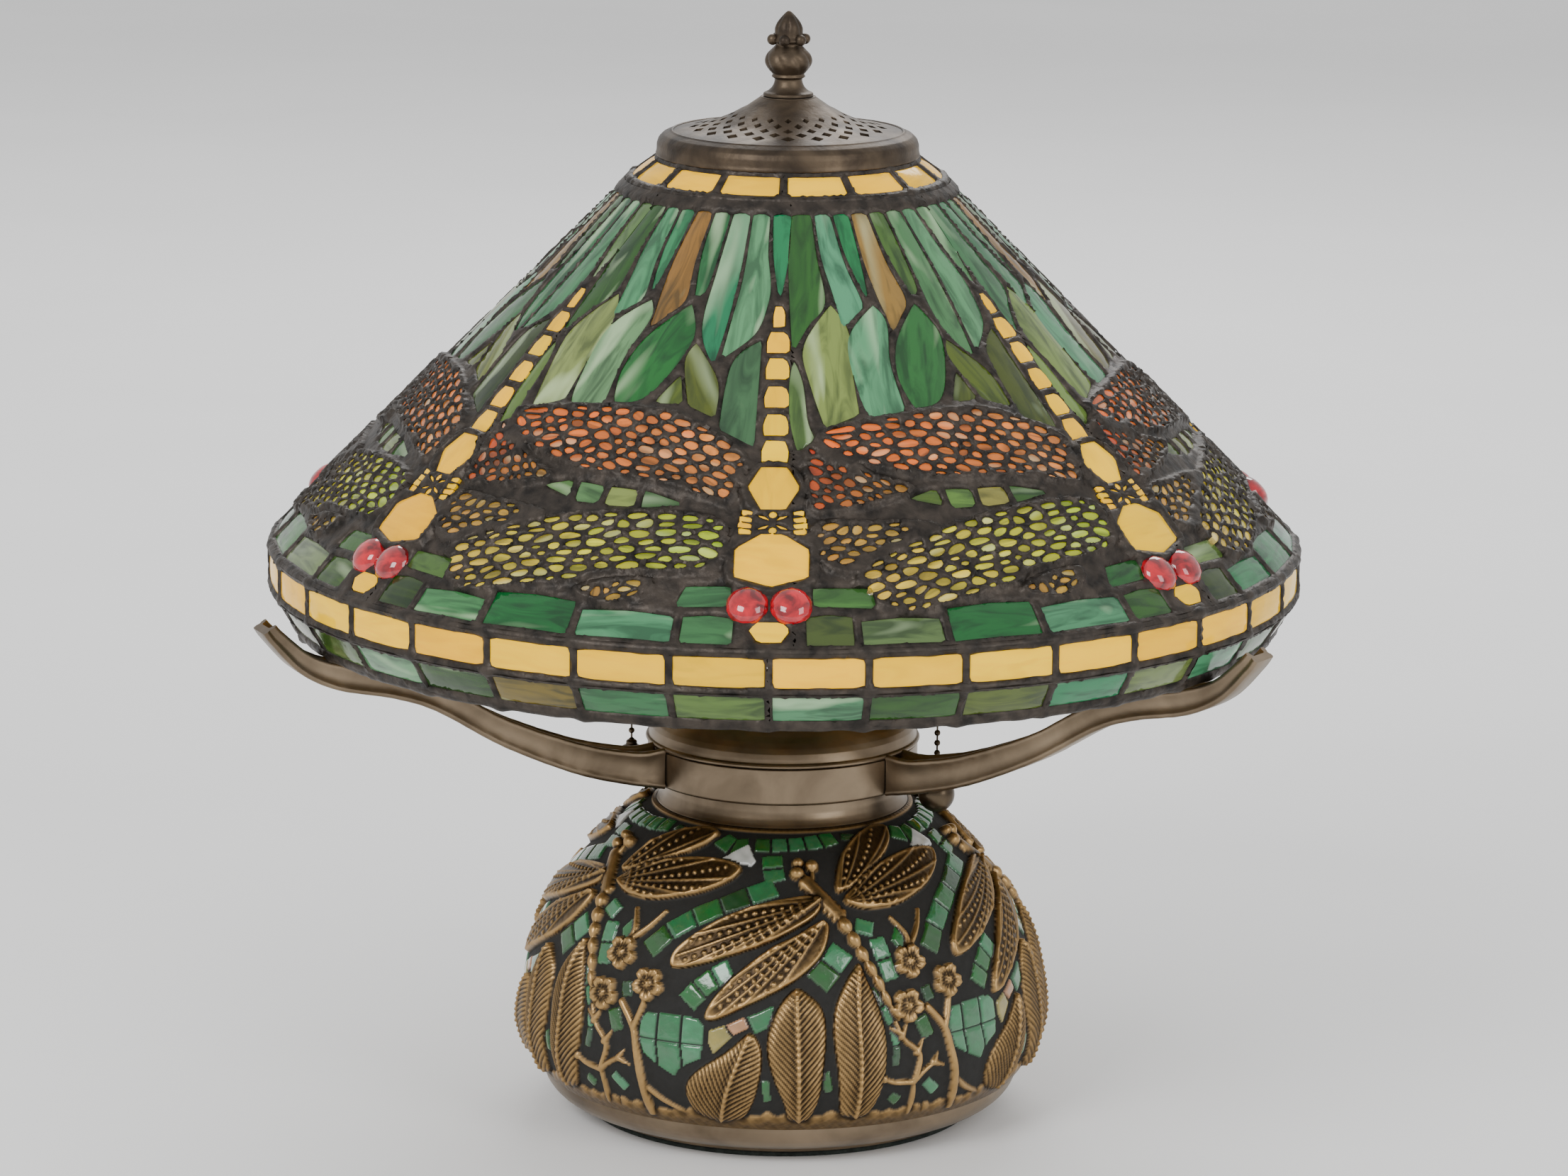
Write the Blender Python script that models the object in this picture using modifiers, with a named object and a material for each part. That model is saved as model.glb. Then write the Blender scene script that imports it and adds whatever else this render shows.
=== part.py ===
"""Stained glass table lamp: a mosaic bowl base, three arms, a two-light cluster and a dragonfly shade.

Units are metres, +Z is up, and the origin is the centre of the underside of the felt.
Azimuths are degrees about +Z, counted from +X; -Y is the front.
"""
import math

import bmesh
import bpy
from mathutils import Matrix, Vector

MM = 0.001
GAP = 0.3 * MM                # clearance kept between neighbouring pieces
TURN_STEPS = 24               # facets of a turned piece
SMALL_STEPS = 16              # facets of a small one

# ---- base ----------------------------------------------------------------------------------------
FELT_T = 1.8 * MM
FOOT_R = 80.0 * MM            # foot ring at the table
FOOT_TOP_R = 96.0 * MM        # foot ring where the bowl sits on it
FOOT_H = 15.0 * MM
FOOT_WALL = 4.0 * MM
PLATE_T = 1.5 * MM
BELLY_R = 104.5 * MM          # widest radius of the bowl
BELLY_H = 23.0 * MM           # height of the widest radius above the bowl's lower edge
BOWL_H = 107.5 * MM
BOWL_WALL = 4.0 * MM
NECK_R = 50.5 * MM            # bowl's mouth, outside
NECK_WAIST_R = 47.5 * MM
NECK_H = 9.7 * MM
NECK_WALL = 3.0 * MM
BAND_R = 54.0 * MM            # the ring that carries the arms
BAND_H = 14.6 * MM
BAND_WALL = 4.0 * MM
BEAD_R = 54.7 * MM
BEAD_H = 2.0 * MM
DOME_H = 18.5 * MM
DOME_FLAT_R = 14.0 * MM
DOME_WALL = 2.0 * MM

# ---- central pipe and its fittings ----------------------------------------------------------------
PIPE_R = 5.0 * MM
PIPE_CLEAR = 0.3 * MM
NUT_R = 9.0 * MM              # across corners
NUT_T = 3.0 * MM
WASHER_R = 10.0 * MM
WASHER_T = 1.2 * MM
PIPE_BELOW_NUT = 0.8 * MM
BUSHING_R = 3.4 * MM
BUSHING_BORE_R = 2.2 * MM
BUSHING_AZ = 90.0             # back of the foot
BUSHING_FLANGE = 1.6 * MM
BUSHING_UP = 3.7 * MM         # height of its centre over the base plate

# ---- arms ----------------------------------------------------------------------------------------
ARM_AZ = {"left": 205.0, "right": 325.0, "back": 85.0}
ARM_W = 13.0 * MM
ARM_TROUGH_W = 8.6 * MM
ARM_TROUGH_D = 2.6 * MM
ARM_RISE = 53.6 * MM          # lower edge at the shade rim above the lower edge at the ring
ARM_ROOT_H = 14.2 * MM        # depth of the arm at the ring
ARM_MID_H = 10.2 * MM
ARM_TIP_H = 6.0 * MM
ARM_TIP_REACH = 26.0 * MM     # how far the tip passes beyond the skirt's lower edge
ARM_TIP_RISE = 24.0 * MM
SCREW_R = 2.0 * MM
SCREW_HEAD_R = 3.6 * MM
SCREW_HEAD_T = 2.2 * MM
SCREW_BITE = 9.0 * MM

# ---- light cluster -------------------------------------------------------------------------------
CLUSTER_Z = 226.0 * MM
CLUSTER_AZ = {"right": 338.0, "left": 158.0}
HUB_R = 12.0 * MM
HUB_H = 32.0 * MM
HUB_ARM_R = 5.5 * MM
THREAD_DEPTH = 8.0 * MM
SOCKET_START = 38.0 * MM      # distance of the socket's closed end from the lamp's axis
SOCKET_R = 17.0 * MM
SOCKET_SHEET = 0.9 * MM
SOCKET_CAP_L = 15.0 * MM
SOCKET_SHELL_L = 50.0 * MM
INSULATOR_L = 24.0 * MM
SCREW_SHELL_L = 25.0 * MM
SCREW_SHELL_SHEET = 0.8 * MM
LAYER = 0.5 * MM              # clearance between one socket layer and the next
SLOT_W = 9.0 * MM
ROTOR_R = 5.5 * MM
ROTOR_T = 4.0 * MM
TRUNNION_R = 1.5 * MM
TRUNNION_L = 13.0 * MM
CHAIN_LINE = 66.0 * MM        # distance of both chains from the lamp's axis
CHAIN_R = 1.25 * MM
CHAIN_BALL_R = 7.25 * MM
CHAIN_DROP = 92.6 * MM        # socket axis to ball centre
GUIDE_R = 4.0 * MM
GUIDE_BORE_R = 2.3 * MM
GUIDE_LIP = 8.0 * MM          # how far the guide shows below the socket
BULB_R = 24.0 * MM
BULB_BASE_L = 26.0 * MM
BULB_L = 86.0 * MM
BULB_NECK_R = 11.5 * MM

# ---- riser ---------------------------------------------------------------------------------------
RISER_R = 3.0 * MM
RISER_NUT_R = 8.0 * MM
RISER_NUT_T = 4.0 * MM

# ---- shade ---------------------------------------------------------------------------------------
SIDES = 42                    # facets round the shade, six to each dragonfly
DRAGONFLIES = 7
AXIS_AZ = -91.5               # azimuth of the front dragonfly's body
GLASS_T = 3.0 * MM
RIM_OVER_ARM = 3.5 * MM       # skirt's lower edge above the arms' level run
SKIRT_H = 14.0 * MM
SHADE_R = 203.4 * MM
SKIRT_R = SHADE_R - 8.4 * MM  # skirt's lower edge
BORDER_H = 15.0 * MM
CONE_H = 144.0 * MM
CONE_TOP_R = 62.3 * MM
CAP_RING_H = 8.2 * MM
CAP_SEAT_R = 51.0 * MM
CAME_R = 2.0 * MM
CAME_CLEAR = 0.5 * MM
WING_T = 2.4 * MM
CAP_H = 23.4 * MM
CAP_T = 1.6 * MM
CAP_FLAT_R = 10.5 * MM
FINIAL_H = 33.0 * MM
FINIAL_BASE_R = 9.9 * MM
FINIAL_BULB_R = 8.9 * MM
FINIAL_BORE_DEPTH = 20.0 * MM
RISER_IN_FINIAL = 17.0 * MM

# ---- heights that follow from the sizes above ------------------------------------------------------
FOOT_Z = FELT_T + GAP
BOWL_Z = FOOT_Z + FOOT_H + GAP
NECK_Z = BOWL_Z + BOWL_H + GAP
BAND_Z = NECK_Z + NECK_H + GAP
BEAD_Z = BAND_Z + BAND_H + GAP
DOME_TOP_Z = BEAD_Z + BEAD_H + DOME_H
PIPE_LOW_Z = FELT_T + GAP
BASE_NUT_Z = PIPE_LOW_Z + PIPE_BELOW_NUT
BASE_WASHER_Z = BASE_NUT_Z + NUT_T + GAP
LEDGE_Z = BASE_WASHER_Z + WASHER_T        # ledge inside the foot that carries the base plate
PLATE_Z = LEDGE_Z + GAP
HUB_LOW_Z = CLUSTER_Z - HUB_H / 2
HUB_TOP_Z = CLUSTER_Z + HUB_H / 2
PIPE_TOP_Z = HUB_LOW_Z + THREAD_DEPTH - GAP
RIM_Z = BAND_Z + ARM_RISE + ARM_MID_H + RIM_OVER_ARM
BORDER_LOW_Z = RIM_Z + SKIRT_H
CONE_LOW_Z = BORDER_LOW_Z + BORDER_H
CONE_TOP_Z = CONE_LOW_Z + CONE_H
CAP_SEAT_Z = CONE_TOP_Z + CAP_RING_H
CAP_LOW_Z = CAP_SEAT_Z + 2 * GAP
CAP_TOP_Z = CAP_LOW_Z + CAP_H
FINIAL_Z = CAP_TOP_Z + GAP
RISER_LOW_Z = HUB_TOP_Z - THREAD_DEPTH + GAP
RISER_TOP_Z = FINIAL_Z + RISER_IN_FINIAL
BUSHING_Z = PLATE_Z + PLATE_T + BUSHING_UP


def clear_scene():
    for ob in list(bpy.data.objects):
        bpy.data.objects.remove(ob, do_unlink=True)


def make_collection(name):
    col = bpy.data.collections.new(name)
    bpy.context.scene.collection.children.link(col)
    return col


def material(name, colour, roughness, metallic=0.0):
    mat = bpy.data.materials.new(name)
    mat.use_nodes = True
    shader = mat.node_tree.nodes["Principled BSDF"]
    shader.inputs["Base Color"].default_value = (*colour, 1.0)
    shader.inputs["Roughness"].default_value = roughness
    shader.inputs["Metallic"].default_value = metallic
    return mat


clear_scene()
LAMP = make_collection("stained_glass_table_lamp")
CUTTERS = make_collection("cutters")


def add_mesh_object(name, bm, mat=None, collection=None, smooth_angle=35.0):
    mesh = bpy.data.meshes.new(name)
    bm.to_mesh(mesh)
    bm.free()
    if smooth_angle:
        mesh.shade_smooth()
        mesh.set_sharp_from_angle(angle=math.radians(smooth_angle))
    ob = bpy.data.objects.new(name, mesh)
    (collection or LAMP).objects.link(ob)
    if mat:
        mesh.materials.append(mat)
    return ob


def turned(name, profile, mat, steps=TURN_STEPS, place=None, collection=None):
    """Turn a closed (radius, height) profile, listed down its outer side first, about local Z."""
    bm = bmesh.new()
    points = [bm.verts.new((r, 0.0, z)) for r, z in profile]
    for a, b in zip(points, points[1:]):
        bm.edges.new((a, b))
    if profile[0][0] > 0.0:
        bm.edges.new((points[-1], points[0]))
    ob = add_mesh_object(name, bm, mat, collection)
    screw = ob.modifiers.new("turn", "SCREW")
    screw.steps = steps
    screw.render_steps = steps
    screw.use_merge_vertices = True
    screw.merge_threshold = 0.00002
    if place:
        ob.matrix_world = place
    return ob


def tube_profile(outer, inner, low, high):
    return [(outer, high), (outer, low), (inner, low), (inner, high)]


def rod_profile(radius, low, high, chamfer=0.0):
    if not chamfer:
        return [(0.0, high), (radius, high), (radius, low), (0.0, low)]
    return [(0.0, high), (radius - chamfer, high), (radius, high - chamfer),
            (radius, low + chamfer), (radius - chamfer, low), (0.0, low)]


def cylinder(name, radius, depth, place, mat=None, collection=None, sides=24):
    bm = bmesh.new()
    bmesh.ops.create_cone(bm, cap_ends=True, segments=sides, radius1=radius, radius2=radius, depth=depth)
    ob = add_mesh_object(name, bm, mat, collection)
    ob.matrix_world = place
    return ob


def box(name, size, place, collection=None):
    bm = bmesh.new()
    bmesh.ops.create_cube(bm, size=1.0)
    bmesh.ops.scale(bm, vec=size, verts=bm.verts)
    ob = add_mesh_object(name, bm, None, collection, smooth_angle=0.0)
    ob.matrix_world = place
    return ob


def as_cutter(ob):
    ob.hide_render = True
    ob.display_type = "WIRE"
    return ob


def combine(target, other, operation="DIFFERENCE"):
    modifier = target.modifiers.new(operation.lower(), "BOOLEAN")
    modifier.operation = operation
    modifier.object = as_cutter(other)


def azimuth_frame(degrees, distance=0.0, height=0.0):
    """A frame whose +X points outwards at the azimuth, moved out and up."""
    turn = Matrix.Rotation(math.radians(degrees), 4, "Z")
    return turn @ Matrix.Translation((distance, 0.0, height))


def across_flats(radius, steps=TURN_STEPS):
    """Half the distance between opposite facets of a turned piece."""
    return radius * math.cos(math.pi / steps)


def outward_axis(degrees, distance, height):
    """A frame whose +Z points outwards at the azimuth: for pieces turned about a radial axis."""
    return azimuth_frame(degrees, distance, height) @ Matrix.Rotation(math.pi / 2, 4, "Y")


def sideways_axis(degrees, distance, height):
    """A frame whose +Z is horizontal and square to the azimuth."""
    return azimuth_frame(degrees, distance, height) @ Matrix.Rotation(math.pi / 2, 4, "X")


def smooth_curve(points, per_span=4):
    """Catmull-Rom points through the given ones."""
    ends = [2 * Vector(points[0]) - Vector(points[1])]
    ends += [Vector(p) for p in points]
    ends += [2 * Vector(points[-1]) - Vector(points[-2])]
    path = []
    for i in range(1, len(ends) - 2):
        a, b, c, d = ends[i - 1:i + 3]
        for k in range(per_span):
            t = k / per_span
            path.append(0.5 * (2 * b + (c - a) * t + (2 * a - 5 * b + 4 * c - d) * t * t
                               + (3 * b - a - 3 * c + d) * t ** 3))
    path.append(ends[-2])
    return path


def flat_outline(name, outline, thickness):
    """A closed 2D outline filled and extruded, as a welded mesh lying in its local XY plane."""
    curve = bpy.data.curves.new(name + "_outline", "CURVE")
    curve.dimensions = "2D"
    curve.fill_mode = "BOTH"
    curve.extrude = thickness / 2
    spline = curve.splines.new("POLY")
    spline.points.add(len(outline) - 1)
    for point, (x, y) in zip(spline.points, outline):
        point.co = (x, y, 0.0, 1.0)
    spline.use_cyclic_u = True
    drawn = bpy.data.objects.new(name + "_outline", curve)
    LAMP.objects.link(drawn)
    graph = bpy.context.evaluated_depsgraph_get()
    mesh = bpy.data.meshes.new_from_object(drawn.evaluated_get(graph))
    bpy.data.objects.remove(drawn, do_unlink=True)
    bm = bmesh.new()
    bm.from_mesh(mesh)
    bpy.data.meshes.remove(mesh)
    bmesh.ops.remove_doubles(bm, verts=bm.verts, dist=0.00001)
    bmesh.ops.recalc_face_normals(bm, faces=bm.faces)
    bmesh.ops.dissolve_limit(bm, angle_limit=0.001, verts=bm.verts, edges=bm.edges)
    return bm


# ---- materials -----------------------------------------------------------------------------------
BRONZE = (0.16, 0.105, 0.06)


def bronze(name):
    return material(name, BRONZE, 0.42, 0.9)


def dark_bronze(name):
    return material(name, (0.06, 0.045, 0.035), 0.38, 0.9)


def brass(name):
    return material(name, (0.55, 0.38, 0.14), 0.35, 1.0)


def steel(name):
    return material(name, (0.42, 0.42, 0.42), 0.35, 1.0)


def lead(name):
    return material(name, (0.05, 0.045, 0.04), 0.5, 0.8)


def glass(name, colour):
    return material(name, colour, 0.15)


# ---- base ----------------------------------------------------------------------------------------
def foot_outer():
    """Foot ring's outside, bottom to top: a short plinth, then a cove that flares under the bowl."""
    cove_h = FOOT_H - 2.5 * MM
    spread = FOOT_TOP_R - FOOT_R
    points = [(FOOT_R, FOOT_Z), (FOOT_R + 0.6 * MM, FOOT_Z + 2.5 * MM)]
    for k in range(1, 6):
        a = k / 5 * math.pi / 2
        points.append((FOOT_R + 0.6 * MM + (spread - 0.6 * MM) * math.sin(a),
                       FOOT_Z + 2.5 * MM + cove_h * (1 - math.cos(a))))
    return points


def make_foot():
    ledge_r = FOOT_R - 14.0 * MM
    rest_r = FOOT_R - FOOT_WALL
    top_r = FOOT_TOP_R - FOOT_WALL
    turned("felt_pad", rod_profile(FOOT_R - 1.0 * MM, 0.0, FELT_T), material("felt", (0.02, 0.05, 0.03), 0.95))
    outside = foot_outer()
    inside = [(ledge_r, FOOT_Z), (ledge_r, LEDGE_Z), (rest_r, LEDGE_Z),
              (rest_r, PLATE_Z + PLATE_T + GAP), (top_r, outside[-1][1])]
    foot = turned("foot_ring", outside[::-1] + inside, bronze("foot_bronze"))
    bore = cylinder("bushing_hole", BUSHING_R + GAP, 48.0 * MM,
                    outward_axis(BUSHING_AZ, FOOT_R + 12.0 * MM, BUSHING_Z), None, CUTTERS, 20)
    combine(foot, bore)
    turned("base_plate", tube_profile(rest_r - GAP, PIPE_R + PIPE_CLEAR, PLATE_Z, PLATE_Z + PLATE_T),
           steel("plate_steel"))


def make_bushing():
    """Rubber bushing in the back of the foot, where the flex would leave."""
    start = FOOT_R - FOOT_WALL + GAP
    length = FOOT_TOP_R + GAP - start + BUSHING_FLANGE
    profile = [(BUSHING_R + 1.6 * MM, length), (BUSHING_R + 1.6 * MM, length - BUSHING_FLANGE),
               (BUSHING_R, length - BUSHING_FLANGE - GAP), (BUSHING_R, 0.0),
               (BUSHING_BORE_R, 0.0), (BUSHING_BORE_R, length)]
    turned("cord_bushing", profile, material("bushing_rubber", (0.02, 0.02, 0.02), 0.7), SMALL_STEPS,
           outward_axis(BUSHING_AZ, start, BUSHING_Z))


def bowl_outer():
    """Bowl's outside from its lower edge to its mouth: a quick round-out, then a long shoulder."""
    low = [(FOOT_TOP_R - BELLY_R, 0.0), (-3.6 * MM, 0.32 * BELLY_H), (-0.9 * MM, 0.66 * BELLY_H)]
    points = [(BELLY_R + dr, BOWL_Z + dz) for dr, dz in low]
    shoulder = BOWL_H - BELLY_H
    shrink = BELLY_R - NECK_R
    for inward, up in ((0.0, 0.0), (0.03, 0.16), (0.085, 0.32), (0.17, 0.46), (0.275, 0.58),
                       (0.42, 0.695), (0.57, 0.80), (0.73, 0.90), (0.87, 0.965), (1.0, 1.0)):
        points.append((BELLY_R - shrink * inward, BOWL_Z + BELLY_H + shoulder * up))
    return points


def make_bowl():
    outside = bowl_outer()
    inside = []
    for i, (r, z) in enumerate(outside):
        before = outside[max(i - 1, 0)]
        after = outside[min(i + 1, len(outside) - 1)]
        run = Vector((after[0] - before[0], after[1] - before[1])).normalized()
        inside.append((r - run.y * BOWL_WALL, z + run.x * BOWL_WALL))
    inside[0] = (outside[0][0] - BOWL_WALL, outside[0][1])
    inside[-1] = (NECK_R - BOWL_WALL, outside[-1][1])
    inside = inside[:1] + inside[3:-2:2] + inside[-1:]
    turned("mosaic_bowl", outside[::-1] + inside, material("bowl_mosaic", (0.07, 0.14, 0.05), 0.35, 0.3), 28)


def make_neck():
    inner = NECK_WAIST_R - NECK_WALL
    top = NECK_Z + NECK_H
    profile = [(NECK_WAIST_R, top), (NECK_WAIST_R, NECK_Z + 0.55 * NECK_H),
               (NECK_WAIST_R + 0.9 * MM, NECK_Z + 0.25 * NECK_H), (NECK_R, NECK_Z),
               (inner, NECK_Z), (inner, top)]
    turned("neck_collar", profile, bronze("neck_bronze"))


def make_arm_ring():
    top = BAND_Z + BAND_H
    profile = tube_profile(BAND_R, BAND_R - BAND_WALL, BAND_Z, top)
    ring = turned("arm_ring", profile, bronze("ring_bronze"))
    for side, azimuth in ARM_AZ.items():
        hole = cylinder("ring_hole_" + side, SCREW_R + GAP, 3 * BAND_WALL,
                        outward_axis(azimuth, BAND_R, screw_height()), None, CUTTERS, 16)
        combine(ring, hole)


def screw_height():
    return BAND_Z + ARM_ROOT_H / 2


def make_dome():
    """Spun cover over the ring: a small bead, then a quarter-ellipse dome with a flat crown."""
    low = BEAD_Z
    spring = BEAD_Z + BEAD_H
    profile = []
    arc = 5
    for k in range(arc + 1):
        a = k / arc * math.pi / 2
        r = DOME_FLAT_R + (BAND_R - DOME_FLAT_R) * math.sin(a)
        profile.append((r, spring + DOME_H * math.cos(a)))
    profile += [(BEAD_R, spring - BEAD_H / 2), (BAND_R, low)]
    inner_r = BAND_R - DOME_WALL
    inside = [(inner_r, low)]
    for k in range(arc, -1, -1):
        a = k / arc * math.pi / 2
        r = DOME_FLAT_R + (inner_r - DOME_FLAT_R) * math.sin(a)
        inside.append((r, spring + (DOME_H - DOME_WALL) * math.cos(a)))
    hole = PIPE_R + PIPE_CLEAR
    inside += [(hole, DOME_TOP_Z - DOME_WALL), (hole, DOME_TOP_Z)]
    turned("ring_dome", profile + inside, bronze("dome_bronze"))


def hex_nut(name, low, thickness, radius, bore, mat):
    nut = turned(name, tube_profile(radius, bore, low, low + thickness), mat, SMALL_STEPS)
    flats = turned(name + "_flats", rod_profile(radius * 1.001, low - MM, low + thickness + MM), None, 6,
                   None, CUTTERS)
    combine(nut, flats, "INTERSECT")


def make_pipe():
    bore = PIPE_R + PIPE_CLEAR
    turned("lamp_pipe", tube_profile(PIPE_R, PIPE_R - 1.4 * MM, PIPE_LOW_Z, PIPE_TOP_Z), steel("pipe_steel"), SMALL_STEPS)
    turned("base_washer", tube_profile(WASHER_R, bore, BASE_WASHER_Z, BASE_WASHER_Z + WASHER_T),
           steel("washer_steel"), SMALL_STEPS)
    hex_nut("base_nut", BASE_NUT_Z, NUT_T, NUT_R, bore, steel("nut_steel"))
    top_washer = DOME_TOP_Z + GAP
    turned("dome_washer", tube_profile(WASHER_R, bore, top_washer, top_washer + WASHER_T), brass("washer_brass"), SMALL_STEPS)
    hex_nut("dome_nut", top_washer + WASHER_T + GAP, NUT_T, NUT_R, bore, brass("nut_brass"))


# ---- arms ----------------------------------------------------------------------------------------
def arm_paths():
    """Lower and upper edges of an arm, seen from its side, as (distance from the axis, height)."""
    start = BAND_R + GAP
    rim = SKIRT_R
    span = rim - start
    low_z = BAND_Z
    stations = [(0.0, 0.0), (0.125, 0.07), (0.28, 0.195), (0.49, 0.45), (0.685, 0.76), (0.81, 0.885), (0.97, 0.985)]
    lower = [(start + span * out, low_z + ARM_RISE * up) for out, up in stations]
    lower.append((rim + 0.42 * ARM_TIP_REACH, low_z + ARM_RISE + 0.29 * ARM_TIP_RISE))
    lower.append((rim + 0.86 * ARM_TIP_REACH, low_z + ARM_RISE + 0.79 * ARM_TIP_RISE))
    lower.append((rim + ARM_TIP_REACH, low_z + ARM_RISE + ARM_TIP_RISE))
    lower = smooth_curve([(x, z, 0.0) for x, z in lower], 2)
    upper = []
    last = len(lower) - 1
    for i, p in enumerate(lower):
        run = (lower[min(i + 1, last)] - lower[max(i - 1, 0)]).normalized()
        t = i / last
        root = max(0.0, 1.0 - t / 0.45)
        tip = max(0.0, (t - 0.8) / 0.2)
        depth = ARM_MID_H + (ARM_ROOT_H - ARM_MID_H) * root + (ARM_TIP_H - ARM_MID_H) * tip
        upper.append(Vector((p.x - run.y * depth, p.y + run.x * depth, 0.0)))
    upper[0].x = start
    return lower, upper


def make_arm(side, azimuth):
    lower, upper = arm_paths()
    outline = [(p.x, p.y) for p in lower + upper[::-1]]
    upright = azimuth_frame(azimuth) @ Matrix.Rotation(math.pi / 2, 4, "X")
    bm = flat_outline("arm_" + side, outline, ARM_W)
    arm = add_mesh_object("arm_" + side, bm, bronze("arm_bronze_" + side))
    arm.matrix_world = upright
    floor = []
    above = []
    for p, q in list(zip(lower, upper))[1:-1]:
        up = (q - p).normalized()
        floor.append(q - up * ARM_TROUGH_D)
        above.append(q + up * 2 * MM)
    for edge in (floor, above):
        edge[0] = edge[0].lerp(edge[1], 0.4)
        edge[-1] = edge[-1].lerp(edge[-2], 0.4)
    bm = flat_outline("arm_trough_" + side, [(p.x, p.y) for p in floor + above[::-1]], ARM_TROUGH_W)
    trough = add_mesh_object("arm_trough_" + side, bm, None, CUTTERS)
    trough.matrix_world = upright
    combine(arm, trough)
    bore = cylinder("arm_bore_" + side, SCREW_R + GAP, 2 * (SCREW_BITE + 2 * MM),
                    outward_axis(azimuth, BAND_R, screw_height()), None, CUTTERS, 16)
    combine(arm, bore)


def make_arm_screw(side, azimuth):
    inner = across_flats(BAND_R - BAND_WALL) - GAP
    length = BAND_R + GAP - inner + SCREW_BITE
    profile = [(0.0, length), (SCREW_R, length), (SCREW_R, 0.0), (SCREW_HEAD_R, 0.0),
               (SCREW_HEAD_R, -SCREW_HEAD_T), (0.0, -SCREW_HEAD_T)]
    turned("arm_screw_" + side, profile, steel("screw_steel_" + side), 12,
           outward_axis(azimuth, inner, screw_height()))


# ---- light cluster -------------------------------------------------------------------------------
def make_hub():
    bore = PIPE_R + PIPE_CLEAR
    riser_bore = RISER_R + PIPE_CLEAR
    profile = [(HUB_R, HUB_TOP_Z), (HUB_R, HUB_LOW_Z), (bore, HUB_LOW_Z),
               (bore, HUB_LOW_Z + THREAD_DEPTH), (riser_bore, HUB_LOW_Z + THREAD_DEPTH),
               (riser_bore, HUB_TOP_Z)]
    hub = turned("cluster_hub", profile, brass("hub_brass"), SMALL_STEPS)
    for side, azimuth in CLUSTER_AZ.items():
        length = SOCKET_START - GAP - HUB_R + 2 * MM
        stub = cylinder("hub_stub_" + side, HUB_ARM_R, length,
                        outward_axis(azimuth, HUB_R - 2 * MM + length / 2, CLUSTER_Z), None, CUTTERS, 20)
        combine(hub, stub, "UNION")


def make_socket(side, azimuth):
    place = outward_axis(azimuth, SOCKET_START, CLUSTER_Z)
    cap_end = SOCKET_CAP_L
    inner = SOCKET_R - SOCKET_SHEET
    profile = [(HUB_ARM_R + 1.5 * MM, 0.0), (HUB_ARM_R + 1.5 * MM, SOCKET_SHEET), (inner, cap_end - 3 * MM),
               (inner, cap_end), (SOCKET_R, cap_end), (SOCKET_R, cap_end - 3.4 * MM), (HUB_ARM_R + 3 * MM, 0.0)]
    turned("socket_cap_" + side, profile, brass("socket_cap_brass_" + side), 20, place)

    shell_start = cap_end + GAP
    shell_end = shell_start + SOCKET_SHELL_L
    shell = turned("socket_shell_" + side, tube_profile(SOCKET_R, inner, shell_start, shell_end),
                   brass("socket_shell_brass_" + side), 20, place)
    guide_hole = cylinder("shell_hole_" + side, GUIDE_R + GAP, 20 * MM,
                          azimuth_frame(azimuth, CHAIN_LINE, CLUSTER_Z - SOCKET_R), None, CUTTERS, 20)
    combine(shell, guide_hole)

    body_r = inner - LAYER
    insulator = turned("socket_insulator_" + side,
                       rod_profile(body_r, shell_start + GAP, shell_start + GAP + INSULATOR_L),
                       material("insulator_" + side, (0.08, 0.05, 0.03), 0.4), 20, place)
    slot_end = CHAIN_LINE + CHAIN_R + 1.6 * MM
    slot_start = CHAIN_LINE - 2 * ROTOR_R - 1.8 * MM
    slot_top = CLUSTER_Z + ROTOR_R + 1.2 * MM
    slot_low = CLUSTER_Z - SOCKET_R - 2 * MM
    slot = box("rotor_slot_" + side, (slot_end - slot_start, SLOT_W, slot_top - slot_low),
               azimuth_frame(azimuth, (slot_start + slot_end) / 2, (slot_top + slot_low) / 2), CUTTERS)
    combine(insulator, slot)
    rotor_place = sideways_axis(azimuth, CHAIN_LINE - ROTOR_R - CHAIN_R - 0.2 * MM, CLUSTER_Z)
    pivot = cylinder("rotor_pivot_hole_" + side, TRUNNION_R + 0.1 * MM, 2 * SOCKET_R, rotor_place, None, CUTTERS, 20)
    combine(insulator, pivot)
    half = ROTOR_T / 2
    profile = [(0.0, TRUNNION_L / 2), (TRUNNION_R, TRUNNION_L / 2), (TRUNNION_R, half), (ROTOR_R, half),
               (ROTOR_R, -half), (TRUNNION_R, -half), (TRUNNION_R, -TRUNNION_L / 2), (0.0, -TRUNNION_L / 2)]
    turned("switch_rotor_" + side, profile, brass("rotor_brass_" + side), SMALL_STEPS, rotor_place)

    screw_start = shell_start + GAP + INSULATOR_L + GAP
    turned("screw_shell_" + side,
           tube_profile(body_r, body_r - SCREW_SHELL_SHEET, screw_start, screw_start + SCREW_SHELL_L),
           brass("screw_shell_brass_" + side), 20, place)

    guide_top = CLUSTER_Z - body_r - GAP
    guide_low = CLUSTER_Z - SOCKET_R - GUIDE_LIP
    turned("chain_guide_" + side,
           [(GUIDE_R, guide_top), (GUIDE_R, guide_low + 2 * MM), (GUIDE_R + 0.8 * MM, guide_low),
            (GUIDE_BORE_R + 0.8 * MM, guide_low), (GUIDE_BORE_R, guide_low + 2 * MM), (GUIDE_BORE_R, guide_top)],
           brass("guide_brass_" + side), 12, azimuth_frame(azimuth, CHAIN_LINE, 0.0))

    make_bulb(side, azimuth, SOCKET_START + screw_start + LAYER + MM, body_r - SCREW_SHELL_SHEET - LAYER)


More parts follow.
